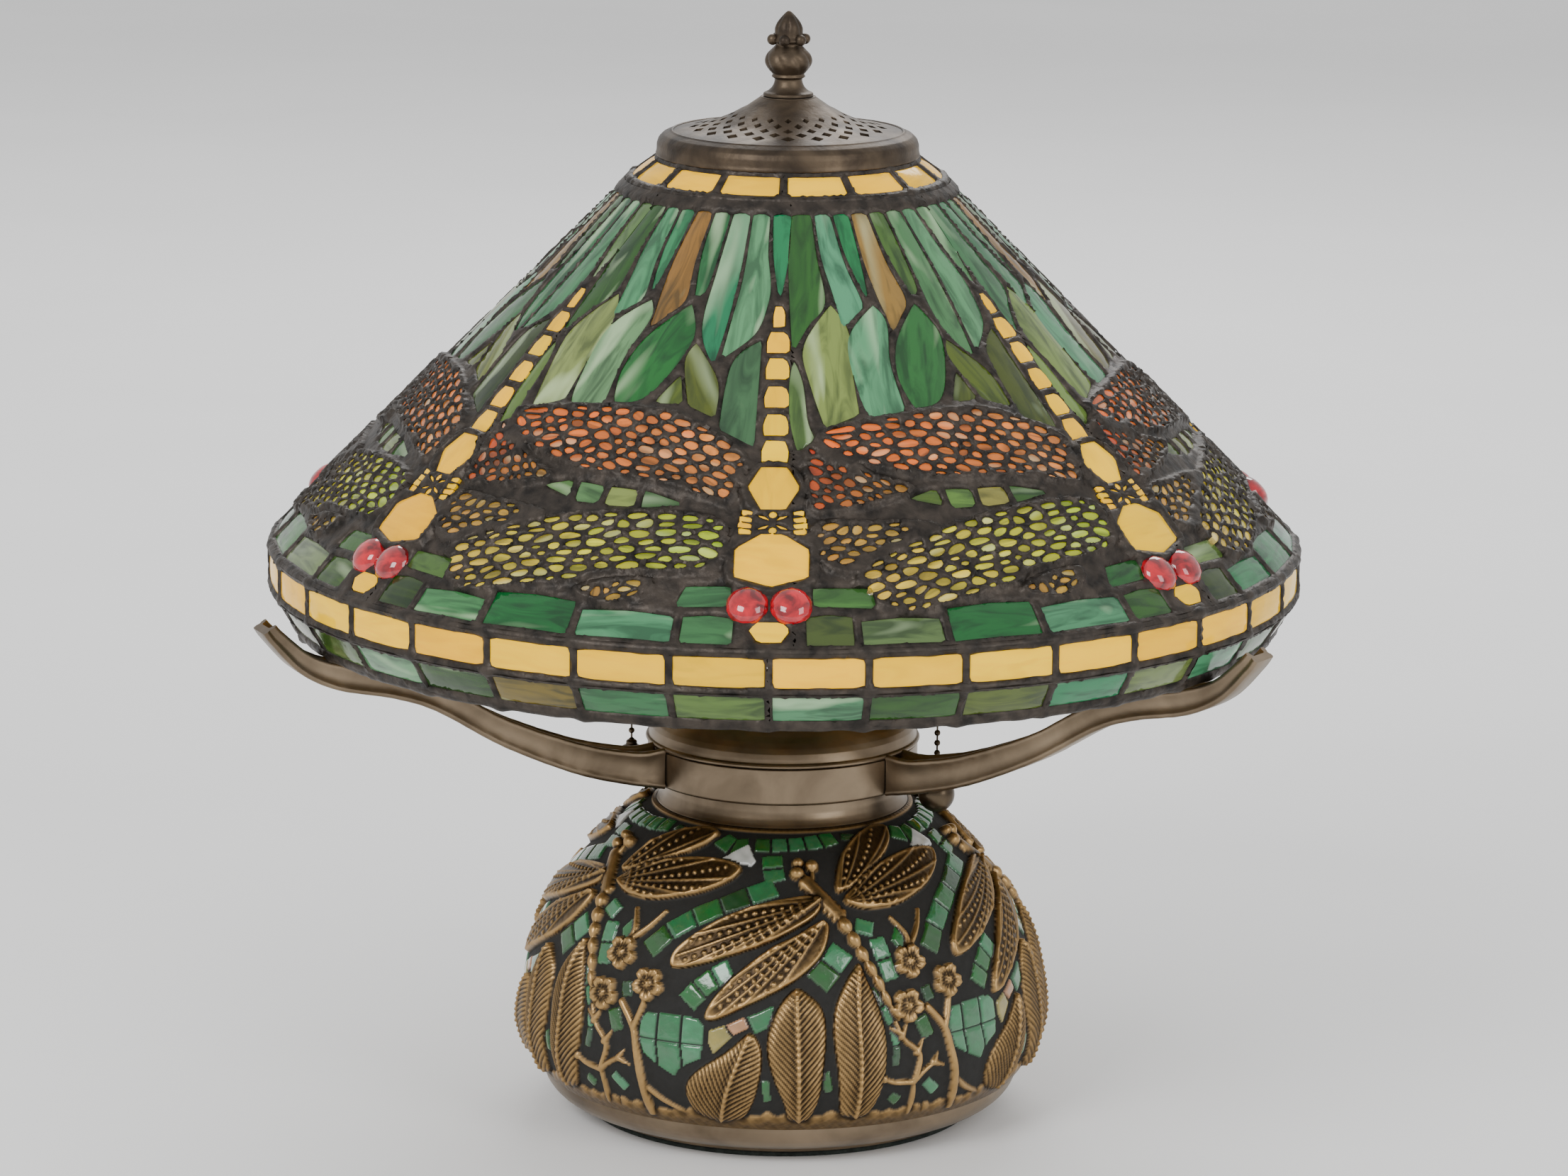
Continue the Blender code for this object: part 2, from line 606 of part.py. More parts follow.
def make_bulb(side, azimuth, start, base_r):
    """A short round bulb: a screw base and a glass envelope whose neck runs into the base."""
    place = outward_axis(azimuth, start, CLUSTER_Z)
    turned("bulb_base_" + side, rod_profile(base_r, 0.0, BULB_BASE_L, 2 * MM),
           steel("bulb_base_steel_" + side), 20, place)
    neck = BULB_BASE_L + GAP
    centre = BULB_L - BULB_R
    profile = []
    arc = 6
    for k in range(arc + 1):
        a = math.pi / 2 - k / arc * math.pi * 0.72
        profile.append((BULB_R * math.cos(a), centre + BULB_R * math.sin(a)))
    profile[0] = (0.0, BULB_L)
    profile += [(BULB_NECK_R + 1.2 * MM, neck + 7 * MM), (BULB_NECK_R, neck), (0.0, neck)]
    turned("bulb_glass_" + side, profile, material("bulb_glass_" + side, (0.95, 0.93, 0.88), 0.2), 20, place)


def make_pull(side, azimuth):
    ball_z = CLUSTER_Z - CHAIN_DROP
    chain_low = ball_z + CHAIN_BALL_R + GAP
    chain_top = CLUSTER_Z + 2.0 * MM
    chain = turned("pull_chain_" + side, rod_profile(CHAIN_R, chain_low - CLUSTER_Z, chain_top - CLUSTER_Z),
                   dark_bronze("chain_bronze_" + side), 8)
    chain.matrix_world = azimuth_frame(azimuth, CHAIN_LINE, CLUSTER_Z)
    bm = bmesh.new()
    bmesh.ops.create_uvsphere(bm, u_segments=14, v_segments=8, radius=CHAIN_BALL_R)
    ball = add_mesh_object("pull_ball_" + side, bm, dark_bronze("ball_bronze_" + side))
    ball.matrix_world = azimuth_frame(azimuth, CHAIN_LINE, ball_z)


def make_riser():
    turned("riser_rod", rod_profile(RISER_R, RISER_LOW_Z, RISER_TOP_Z, 0.8 * MM), steel("riser_steel"), SMALL_STEPS)
    top = CAP_TOP_Z - CAP_T - 2 * GAP
    hex_nut("riser_nut", top - RISER_NUT_T, RISER_NUT_T, RISER_NUT_R, RISER_R + PIPE_CLEAR, brass("riser_nut_brass"))


# ---- shade ---------------------------------------------------------------------------------------
SHADE_LINE = [(CAP_SEAT_R, CAP_SEAT_Z), (CONE_TOP_R, CONE_TOP_Z), (SHADE_R, CONE_LOW_Z),
              (SHADE_R, BORDER_LOW_Z), (SKIRT_R, RIM_Z)]
SHADE_TURN = Matrix.Rotation(math.radians(AXIS_AZ), 4, "Z")


def set_back(index):
    """How far the glass stops short of a corner, so that its edge clears the came on the bend."""
    if index == len(SHADE_LINE) - 1:
        return CAME_R + CAME_CLEAR
    before, corner, after = (Vector(p) for p in SHADE_LINE[index - 1:index + 2])
    bend = (corner - before).angle(after - corner)
    return CAME_R + CAME_CLEAR + GLASS_T / 2 * math.tan(bend / 2)


def glass_band(name, upper, lower, trim_upper, trim_lower, mat):
    """One row of panes between two cames, set back from each and GLASS_T thick inwards."""
    a = Vector(upper)
    b = Vector(lower)
    run = (b - a).normalized()
    inward = Vector((run.y, -run.x)) * GLASS_T
    a += run * trim_upper
    b -= run * trim_lower
    profile = [tuple(a), tuple(b), tuple(b + inward), tuple(a + inward)]
    return turned(name, profile, mat, SIDES, SHADE_TURN)


def came(name, corner, before, after, mat):
    """A lead joint of round section that covers the corner between two rows of glass."""
    directions = [(Vector(p) - Vector(corner)).normalized() for p in (before, after) if p]
    inward = Vector((-1.0, 0.0))
    if len(directions) == 2:
        first = Vector((-directions[0].y, directions[0].x))
        second = Vector((directions[1].y, -directions[1].x))
        inward = (first + second).normalized()
    centre = Vector(corner) + inward * (GLASS_T / 2)
    sides = 4
    profile = []
    for k in range(sides):
        a = math.pi / 2 - 2 * math.pi * (k + 0.5) / sides
        profile.append((centre.x + CAME_R * math.cos(a), centre.y + CAME_R * math.sin(a)))
    turned(name, profile, mat, SIDES, SHADE_TURN)


def make_shade_glass():
    amber = (0.95, 0.6, 0.03)
    rows = [("cap_ring_glass", amber), ("cone_glass", (0.1, 0.35, 0.15)), ("border_glass", amber),
            ("skirt_glass", (0.2, 0.3, 0.17))]
    for i, (name, colour) in enumerate(rows):
        trim_upper = set_back(i) if i else 0.0
        glass_band(name, SHADE_LINE[i], SHADE_LINE[i + 1], trim_upper, set_back(i + 1), glass(name, colour))
    p = SHADE_LINE
    came("upper_came", p[1], p[0], p[2], lead("upper_lead"))
    came("border_came", p[2], p[1], p[3], lead("border_lead"))
    came("skirt_came", p[3], p[2], p[4], lead("skirt_lead"))
    came("rim_wire", p[4], p[3], None, lead("rim_lead"))


# Dragonfly outline: (degrees from the body's centre line, share of the way down the cone).
TAIL_AND_RIGHT = [(1.4, 0.24), (1.8, 0.58), (3.2, 0.592), (5.5, 0.556), (8.0, 0.576), (11.5, 0.615),
                  (17.5, 0.656), (16.0, 0.672), (6.0, 0.703), (6.0, 0.722), (10.0, 0.722), (19.5, 0.737),
                  (18.5, 0.747), (13.0, 0.786), (10.0, 0.83), (5.6, 0.834), (5.0, 0.90), (2.2, 0.95)]
HEAD_AND_LEFT = [(-2.2, 0.95), (-5.0, 0.90), (-5.6, 0.838), (-11.3, 0.843), (-19.5, 0.856), (-23.5, 0.88),
                 (-33.5, 0.918), (-36.5, 0.905), (-39.3, 0.87), (-38.5, 0.83), (-34.0, 0.78), (-27.0, 0.736),
                 (-13.9, 0.71), (-6.5, 0.72), (-6.5, 0.69), (-9.0, 0.678), (-16.0, 0.653), (-26.0, 0.639),
                 (-33.0, 0.616), (-39.0, 0.586), (-42.3, 0.553), (-42.3, 0.53), (-38.0, 0.505),
                 (-29.0, 0.487), (-16.0, 0.488), (-8.7, 0.53), (-3.5, 0.592), (-1.8, 0.58), (-1.4, 0.24)]


def make_dragonfly(index, mat):
    """Wings, body and head of one dragonfly: a plate bent on to the cone, just proud of the glass."""
    top = Vector(SHADE_LINE[1])
    bottom = Vector(SHADE_LINE[2])
    slant = (bottom - top).length
    out = Vector((bottom.y - top.y, top.x - bottom.x)).normalized() * -1.0
    reach = slant / 60.0      # flat units per degree, only for drawing the outline
    outline = [(a * reach, t * slant) for a, t in TAIL_AND_RIGHT + HEAD_AND_LEFT]
    bm = flat_outline("dragonfly_%d" % index, outline, WING_T)
    facet = 360.0 / SIDES
    for k in range(-5, 4):
        geometry = bm.verts[:] + bm.edges[:] + bm.faces[:]
        bmesh.ops.bisect_plane(bm, geom=geometry, dist=0.000001, plane_co=(k * facet * reach, 0.0, 0.0),
                               plane_no=(1.0, 0.0, 0.0))
    bmesh.ops.triangulate(bm, faces=bm.faces)
    start = math.radians(AXIS_AZ + index * 360.0 / DRAGONFLIES)
    for v in bm.verts:
        azimuth = start + math.radians(v.co.x / reach)
        on_cone = top.lerp(bottom, v.co.y / slant) + out * (GAP + v.co.z + WING_T / 2)
        v.co = (on_cone.x * math.cos(azimuth), on_cone.x * math.sin(azimuth), on_cone.y)
    bmesh.ops.reverse_faces(bm, faces=bm.faces)     # the bend turns the plate's sides over
    add_mesh_object("dragonfly_%d" % index, bm, mat)


def make_cap():
    """Vented cap: flat crown, concave cone, shoulder, upright rim."""
    top = CAP_TOP_Z
    rim = CAP_SEAT_R + 0.2 * MM
    drop = CAP_H
    outside = [(CAP_FLAT_R, top), (0.32 * rim, top - 0.175 * drop), (0.42 * rim, top - 0.28 * drop),
               (0.55 * rim, top - 0.405 * drop), (0.735 * rim, top - 0.515 * drop),
               (0.885 * rim, top - 0.59 * drop), (0.965 * rim, top - 0.65 * drop), (rim, top - 0.76 * drop),
               (rim, top - drop)]
    inside = [(r - CAP_T, z) for r, z in outside[-3:]][::-1]
    inside += [(r - 0.3 * CAP_T, z - CAP_T) for r, z in outside[1:-3][::-1]]
    hole = RISER_R + PIPE_CLEAR
    inside += [(CAP_FLAT_R, top - CAP_T), (hole, top - CAP_T), (hole, top)]
    turned("vented_cap", outside + inside, dark_bronze("cap_bronze"))


def make_finial():
    """Cast finial with a blind hole for the riser: flared foot, neck, bulb, bead row and bud."""
    base = FINIAL_Z
    outside = [(0.0, 1.0), (0.17, 0.955), (0.36, 0.88), (0.50, 0.80), (0.62, 0.73), (0.80, 0.69), (0.80, 0.64),
               (0.68, 0.59), (0.70, 0.54), (0.92, 0.47), (1.0, 0.40), (0.97, 0.32), (0.80, 0.245),
               (0.63, 0.20), (0.66, 0.13), (0.85, 0.06), (FINIAL_BASE_R / FINIAL_BULB_R, 0.0)]
    profile = [(FINIAL_BULB_R * r, base + FINIAL_H * z) for r, z in outside]
    bore = RISER_R + PIPE_CLEAR
    profile += [(bore, base), (bore, base + FINIAL_BORE_DEPTH - 2 * MM), (0.0, base + FINIAL_BORE_DEPTH)]
    turned("finial", profile, dark_bronze("finial_bronze"), SMALL_STEPS)


make_foot()
make_bushing()
make_bowl()
make_neck()
make_arm_ring()
make_dome()
make_pipe()
for arm_side, arm_azimuth in ARM_AZ.items():
    make_arm(arm_side, arm_azimuth)
    make_arm_screw(arm_side, arm_azimuth)
make_hub()
for light_side, light_azimuth in CLUSTER_AZ.items():
    make_socket(light_side, light_azimuth)
    make_pull(light_side, light_azimuth)
make_riser()
make_shade_glass()
for number in range(DRAGONFLIES):
    make_dragonfly(number, lead("wing_lead_%d" % number))
make_cap()
make_finial()
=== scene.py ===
"""Stained glass table lamp with a dragonfly shade: the looks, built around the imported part."""
import math

import bpy
import numpy as np
from mathutils import Matrix, Vector, kdtree
from mathutils.geometry import delaunay_2d_cdt


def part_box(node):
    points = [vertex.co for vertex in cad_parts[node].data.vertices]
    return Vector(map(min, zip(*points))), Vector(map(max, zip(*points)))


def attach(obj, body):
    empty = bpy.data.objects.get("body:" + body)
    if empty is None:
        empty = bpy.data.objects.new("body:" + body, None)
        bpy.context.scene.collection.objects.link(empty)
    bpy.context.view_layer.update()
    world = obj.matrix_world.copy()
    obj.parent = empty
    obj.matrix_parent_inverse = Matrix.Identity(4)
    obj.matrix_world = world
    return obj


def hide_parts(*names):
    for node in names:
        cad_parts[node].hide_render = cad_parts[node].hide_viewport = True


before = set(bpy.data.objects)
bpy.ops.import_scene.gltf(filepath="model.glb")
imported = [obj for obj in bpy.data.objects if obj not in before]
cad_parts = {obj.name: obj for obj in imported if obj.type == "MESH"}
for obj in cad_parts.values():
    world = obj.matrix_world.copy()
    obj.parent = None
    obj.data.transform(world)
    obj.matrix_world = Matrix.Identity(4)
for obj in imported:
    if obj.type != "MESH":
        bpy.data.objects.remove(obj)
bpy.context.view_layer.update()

MM = 0.001
SECTORS = 7                  # dragonflies round the shade
REPEATS = 5                  # dragonflies round the bowl
AXIS_AZ = -91.5              # azimuth of the shade dragonfly that faces the front
SIDES_HIGH = 128             # steps round a turned piece
LIGHT_AZ = {"right": 338.0, "left": 158.0}
LIGHT_Z = 226.0
CHAIN_LINE = 66.0            # distance of both chains from the axis
BALL_Z = 133.4
BALL_R = 7.25
PULL_TRAVEL = 8.0
random = np.random.default_rng(11)


# ---------------------------------------------------------------- materials

def add_node(tree, kind, **settings):
    """One shader node: settings that name an input set its value, the others set the node."""
    made = tree.nodes.new(kind)
    for name, value in settings.items():
        label = name.replace("_", " ").title()
        if hasattr(made, name):
            setattr(made, name, value)
        else:
            made.inputs[label].default_value = value
    return made


def new_material(name):
    mat = bpy.data.materials.new(name)
    mat.use_nodes = True
    tree = mat.node_tree
    return mat, tree, tree.nodes["Principled BSDF"]


def noise(tree, vector, scale, detail=3.0, distortion=0.0):
    made = add_node(tree, "ShaderNodeTexNoise", scale=scale, detail=detail, distortion=distortion)
    tree.links.new(vector, made.inputs["Vector"])
    return made.outputs["Fac"]


def ramp(tree, value, low, high, at=(0.3, 0.7)):
    """Two colours across a range of the value."""
    made = add_node(tree, "ShaderNodeValToRGB")
    made.color_ramp.elements[0].position = at[0]
    made.color_ramp.elements[1].position = at[1]
    made.color_ramp.elements[0].color = (*low, 1.0)
    made.color_ramp.elements[1].color = (*high, 1.0)
    tree.links.new(value, made.inputs["Fac"])
    return made.outputs["Color"]


def spread(tree, value, low, high):
    """The value, 0 to 1, mapped to low to high."""
    made = add_node(tree, "ShaderNodeMapRange")
    made.inputs["To Min"].default_value = low
    made.inputs["To Max"].default_value = high
    tree.links.new(value, made.inputs["Value"])
    return made.outputs["Result"]


def bump(tree, shader, value, strength, distance):
    made = add_node(tree, "ShaderNodeBump")
    made.inputs["Strength"].default_value = strength
    made.inputs["Distance"].default_value = distance
    tree.links.new(value, made.inputs["Height"])
    tree.links.new(made.outputs["Normal"], shader.inputs["Normal"])


def place_of(tree):
    return add_node(tree, "ShaderNodeTexCoord").outputs["Object"]


def mix_colour(tree, factor, first, second, kind="MIX"):
    made = tree.nodes.new("ShaderNodeMix")
    made.data_type = "RGBA"
    made.blend_type = kind
    for socket, value in ((made.inputs[0], factor), (made.inputs[6], first), (made.inputs[7], second)):
        if isinstance(value, (float, tuple)):
            socket.default_value = value
        else:
            tree.links.new(value, socket)
    return made.outputs[2]


def metal(name, low, high, rough, scale=60.0, metallic=1.0, relief=0.15, depth=0.0004, grain=600.0):
    """Worn metal: two tones in soft patches, uneven polish and a fine tooth."""
    mat, tree, shader = new_material(name)
    where = place_of(tree)
    patches = noise(tree, where, scale, 5.0, 0.4)
    tree.links.new(ramp(tree, patches, low, high, (0.32, 0.68)), shader.inputs["Base Color"])
    polish = noise(tree, where, scale * 2.6, 4.0)
    tree.links.new(spread(tree, polish, rough[0], rough[1]), shader.inputs["Roughness"])
    shader.inputs["Metallic"].default_value = metallic
    bump(tree, shader, noise(tree, where, grain, 3.0), relief, depth)
    return mat


def soft_solid(name, low, high, rough, scale=80.0, relief=0.3, grain=900.0):
    """A material that isn't metal: felt, rubber, moulded insulator."""
    return metal(name, low, high, rough, scale, 0.0, relief, 0.0006, grain)


def streaky_glass(name, contrast=1.0, rough=(0.08, 0.2), light=(0.8, 1.0, 0.62), shine=0.5, painted_glow=0.05):
    """Opalescent sheet glass: streaks that run with each pane, a rolled surface, a wet shine, and a painted glow in
    the glass's own colour that stands in for light coming through it.
    """
    mat, tree, shader = new_material(name)
    tint = add_node(tree, "ShaderNodeAttribute", attribute_name="tint").outputs["Color"]
    flow = add_node(tree, "ShaderNodeAttribute", attribute_name="flow").outputs["Vector"]
    streak = noise(tree, flow, 1.0, 4.0, 1.1)
    cloud = noise(tree, flow, 0.45, 2.0, 0.6)
    deep = mix_colour(tree, 0.62 * contrast, tint, (0.0, 0.01, 0.004, 1.0))
    pale = mix_colour(tree, 0.3 * contrast, tint, (*light, 1.0))
    first = mix_colour(tree, ramp(tree, streak, (0, 0, 0), (1, 1, 1), (0.34, 0.56)), deep, tint)
    both = mix_colour(tree, ramp(tree, cloud, (0, 0, 0), (1, 1, 1), (0.56, 0.7)), first, pale)
    tree.links.new(both, shader.inputs["Base Color"])
    where = place_of(tree)
    tree.links.new(spread(tree, noise(tree, where, 90.0), rough[0], rough[1]), shader.inputs["Roughness"])
    shader.inputs["IOR"].default_value = 1.5
    shader.inputs["Specular IOR Level"].default_value = shine
    shader.inputs["Coat Weight"].default_value = 0.06
    shader.inputs["Coat Roughness"].default_value = 0.06
    # Painted glow: the streaky colour is also given off as light, so the panes shine as if lit through, though no lamp
    # is behind them.
    tree.links.new(both, shader.inputs["Emission Color"])
    shader.inputs["Emission Strength"].default_value = painted_glow
    bump(tree, shader, noise(tree, where, 130.0, 2.0), 0.22, 0.0009)
    return mat


def tinted_metal(name):
    """The bowl's skin: the tint and metal attributes tell bronze, grout and tile apart."""
    mat, tree, shader = new_material(name)
    where = place_of(tree)
    tint = add_node(tree, "ShaderNodeAttribute", attribute_name="tint").outputs["Color"]
    kind = add_node(tree, "ShaderNodeAttribute", attribute_name="kind").outputs["Vector"]
    split = add_node(tree, "ShaderNodeSeparateXYZ")
    tree.links.new(kind, split.inputs["Vector"])
    wear = noise(tree, where, 210.0, 4.0, 0.3)
    shaded = mix_colour(tree, spread(tree, wear, 0.0, 0.42), tint, (0.012, 0.009, 0.006, 1.0))
    tree.links.new(shaded, shader.inputs["Base Color"])
    tree.links.new(split.outputs["X"], shader.inputs["Metallic"])
    added = add_node(tree, "ShaderNodeMath", operation="ADD")
    tree.links.new(split.outputs["Y"], added.inputs[0])
    tree.links.new(spread(tree, noise(tree, where, 330.0), -0.08, 0.1), added.inputs[1])
    tree.links.new(added.outputs["Value"], shader.inputs["Roughness"])
    tree.links.new(split.outputs["Z"], shader.inputs["Coat Weight"])
    shader.inputs["Coat Roughness"].default_value = 0.05
    bump(tree, shader, noise(tree, where, 520.0, 4.0), 0.28, 0.0005)
    return mat


BRONZE = metal("satin_bronze", (0.13, 0.097, 0.064), (0.29, 0.222, 0.15), (0.3, 0.42), 34.0, 0.92, 0.08)
DARK_BRONZE = metal("dark_bronze", (0.035, 0.026, 0.019), (0.12, 0.088, 0.058), (0.38, 0.55), 70.0, 0.85, 0.3)
LEAD = metal("dark_lead", (0.012, 0.0095, 0.0075), (0.06, 0.047, 0.037), (0.36, 0.6), 150.0, 0.55, 0.6, 0.0009, 260.0)
BRASS = metal("fitting_brass", (0.42, 0.28, 0.1), (0.66, 0.46, 0.19), (0.22, 0.36), 50.0)
SOCKET_BRASS = metal("socket_brass", (0.36, 0.25, 0.1), (0.58, 0.42, 0.19), (0.2, 0.33), 42.0)
STEEL = metal("fitting_steel", (0.3, 0.3, 0.29), (0.5, 0.49, 0.47), (0.25, 0.42), 80.0)
PLATE_STEEL = metal("plate_steel", (0.12, 0.115, 0.11), (0.24, 0.23, 0.22), (0.45, 0.6), 60.0)
PULL_BRONZE = metal("pull_bronze", (0.05, 0.036, 0.024), (0.13, 0.098, 0.062), (0.24, 0.36), 90.0, 0.9, 0.06)
CONTACT = metal("contact_brass", (0.5, 0.38, 0.18), (0.7, 0.56, 0.3), (0.25, 0.38), 120.0)
BULB_CAP = metal("bulb_cap_metal", (0.52, 0.51, 0.49), (0.72, 0.71, 0.68), (0.2, 0.34), 90.0)
FELT = soft_solid("felt", (0.008, 0.012, 0.009), (0.026, 0.034, 0.028), (0.9, 1.0), 300.0, 0.9)
RUBBER = soft_solid("bushing_rubber", (0.012, 0.012, 0.012), (0.03, 0.03, 0.03), (0.55, 0.7))
INSULATOR = soft_solid("insulator", (0.05, 0.03, 0.018), (0.09, 0.055, 0.032), (0.25, 0.4))
BULB_GLASS = soft_solid("bulb_glass", (0.78, 0.77, 0.73), (0.88, 0.87, 0.84), (0.22, 0.32), 30.0, 0.04)
GLASS = streaky_glass("opal_glass")
AMBER = streaky_glass("amber_glass", 0.22, (0.1, 0.2), (1.0, 0.7, 0.0), 0.22, 0.4)
BOWL_SKIN = tinted_metal("bowl_mosaic")


def jewel_material():
    """Red pressed-glass jewel: deep colour, strong shine, faint cloud inside."""
    mat, tree, shader = new_material("ruby_jewel")
    where = place_of(tree)
    colour = ramp(tree, noise(tree, where, 160.0, 3.0, 0.8), (0.12, 0.0, 0.003), (0.62, 0.0, 0.012), (0.35, 0.65))
    tree.links.new(colour, shader.inputs["Base Color"])
    tree.links.new(spread(tree, noise(tree, where, 200.0), 0.03, 0.1), shader.inputs["Roughness"])
    shader.inputs["Coat Weight"].default_value = 1.0
    bump(tree, shader, noise(tree, where, 260.0, 2.0), 0.3, 0.0006)
    return mat


JEWEL = jewel_material()


# ---------------------------------------------------------------- building meshes

def make(name, points, faces, mat, body, nodes=(), smooth=True, sharp=38.0, layers=None):
    """One piece from points in millimetres; layers are point attributes of colours or vectors."""
    mesh = bpy.data.meshes.new(name)
    mesh.from_pydata((np.asarray(points, float) * MM).tolist(), [], [list(f) for f in faces])
    for key, values in (layers or {}).items():
        form = "FLOAT_COLOR" if key == "tint" else "FLOAT_VECTOR"
        layer = mesh.attributes.new(key, form, "POINT")
        flat = np.asarray(values, np.float32).ravel()
        layer.data.foreach_set("color" if key == "tint" else "vector", flat)
    mesh.materials.append(mat)
    mesh.validate()
    if smooth:
        mesh.shade_smooth()
        mesh.set_sharp_from_angle(angle=math.radians(sharp))
    made = bpy.data.objects.new(name, mesh)
    bpy.context.scene.collection.objects.link(made)
    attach(made, body)
    if nodes:
        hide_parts(*nodes)
    return made


def quads(rows, columns, wrap=False, flip=False):
    """Faces between rows of points that each close on themselves; wrap joins the last row to the first."""
    faces = []
    for i in range(rows if wrap else rows - 1):
        j = (i + 1) % rows
        for p in range(columns):
            q = (p + 1) % columns
            a, b, c, d = i * columns + p, i * columns + q, j * columns + q, j * columns + p
            faces.append((a, d, c, b) if flip else (a, b, c, d))
    return faces


def turned(outline, steps=SIDES_HIGH, centre=(0.0, 0.0)):
    """Points and faces of a closed outline of (radius, height) turned about the vertical."""
    outline = np.asarray(outline, float)
    outline = outline[::-1] if area_of(outline) > 0 else outline
    angles = np.linspace(0.0, 2.0 * math.pi, steps, endpoint=False)
    points = np.zeros((steps, len(outline), 3))
    points[:, :, 0] = centre[0] + np.cos(angles)[:, None] * outline[None, :, 0]
    points[:, :, 1] = centre[1] + np.sin(angles)[:, None] * outline[None, :, 0]
    points[:, :, 2] = outline[None, :, 1]
    return points.reshape(-1, 3), quads(steps, len(outline), True)


def rounded(outline, radius=0.6, steps=3):
    """The closed outline with its corners rounded off."""
    outline = [np.array(p, float) for p in outline]
    result = []
    for i, corner in enumerate(outline):
        before, after = outline[i - 1] - corner, outline[(i + 1) % len(outline)] - corner
        reach = min(radius, 0.45 * np.linalg.norm(before), 0.45 * np.linalg.norm(after))
        first = corner + before / np.linalg.norm(before) * reach
        last = corner + after / np.linalg.norm(after) * reach
        for share in np.linspace(0.0, 1.0, steps + 1):
            result.append((1 - share) ** 2 * first + 2 * share * (1 - share) * corner + share ** 2 * last)
    return np.array(result)


def spline(a, b, c, d, steps):
    """Catmull-Rom points from b up to c."""
    return [0.5 * (2 * b + (c - a) * t + (2 * a - 5 * b + 4 * c - d) * t ** 2 + (3 * b - a - 3 * c + d) * t ** 3)
            for t in np.arange(steps) / steps]


def curve(points, steps=6, closed=False):
    """A smooth line through the given points."""
    points = np.asarray(points, float)
    count = len(points)
    result = []
    for i in range(count if closed else count - 1):
        take = [i - 1, i, i + 1, i + 2]
        take = [k % count for k in take] if closed else [min(max(k, 0), count - 1) for k in take]
        result += spline(*points[take], steps)
    if not closed:
        result.append(points[-1])
    return np.array(result)


def cut_line(points, steps=5, sharp=48.0):
    """A closed line through the points, curved except at its sharp corners."""
    points = np.asarray(points, float)
    count = len(points)
    before, after = points - np.roll(points, 1, 0), np.roll(points, -1, 0) - points
    turns = np.arctan2(before[:, 0] * after[:, 1] - before[:, 1] * after[:, 0], (before * after).sum(1))
    corner = np.abs(np.degrees(turns)) > sharp
    result = []
    for i in range(count):
        b, c = points[i], points[(i + 1) % count]
        a = b if corner[i] else points[i - 1]
        d = c if corner[(i + 1) % count] else points[(i + 2) % count]
        result += spline(a, b, c, d, steps)
    return np.array(result)


def grown(loop, amount):
    """The closed line moved outwards."""
    loop = loop if area_of(loop) > 0 else loop[::-1]
    along = np.roll(loop, -1, 0) - np.roll(loop, 1, 0)
    along /= np.linalg.norm(along, axis=1)[:, None]
    return loop + amount * np.stack([along[:, 1], -along[:, 0]], -1)


def resampled(points, spacing, closed=True):
    """The line with points at even spacing."""
    points = np.asarray(points, float)
    loop = np.vstack([points, points[:1]]) if closed else points
    along = np.r_[0.0, np.cumsum(np.linalg.norm(np.diff(loop, axis=0), axis=1))]
    count = max(int(round(along[-1] / spacing)), 6 if closed else 1)
    marks = np.linspace(0.0, along[-1], count + 1)
    if closed:
        marks = marks[:-1]
    return np.stack([np.interp(marks, along, loop[:, k]) for k in range(loop.shape[1])], -1)


def inside(points, loop):
    """Whether each flat point lies inside the loop."""
    x, y = points[:, 0][:, None], points[:, 1][:, None]
    ax, ay = loop[:, 0][None], loop[:, 1][None]
    bx, by = np.roll(loop[:, 0], -1)[None], np.roll(loop[:, 1], -1)[None]
    crosses = ((ay > y) != (by > y)) & (x < (bx - ax) * (y - ay) / (by - ay + 1e-12) + ax)
    return crosses.sum(1) % 2 == 1


def tree_of(points):
    """A search tree over flat points."""
    made = kdtree.KDTree(len(points))
    for i, p in enumerate(points):
        made.insert((p[0], p[1], 0.0), i)
    made.balance()
    return made


def gap_to(points, search):
    return np.array([search.find((p[0], p[1], 0.0))[2] for p in points])


def ripple(x, y, seed=0.0):
    """A smooth, repeatable unevenness between -1 and 1."""
    return (np.sin(x * 0.91 + 1.3 * np.sin(y * 0.47 + seed)) * np.sin(y * 0.83 + 1.1 * np.sin(x * 0.59 - seed))
            * 0.6 + np.sin(x * 2.3 + y * 1.7 + seed) * 0.25 + np.sin(y * 2.9 - x * 1.9) * 0.15)


# ---------------------------------------------------------------- leaded glass

GREENS = {"emerald": (0.002, 0.125, 0.024), "teal": (0.008, 0.165, 0.06), "pale_teal": (0.07, 0.26, 0.125),
          "olive": (0.08, 0.105, 0.008), "dark_olive": (0.026, 0.044, 0.005), "moss": (0.02, 0.08, 0.01),
          "veined": (0.2, 0.25, 0.06), "brown_orange": (0.29, 0.12, 0.02), "light_leaf": (0.09, 0.17, 0.03)}
YELLOW = (0.86, 0.47, 0.0)
LEAD_TOP = 1.1               # how far the lead stands over the glass
BACK = -3.0                  # inner face of the glass


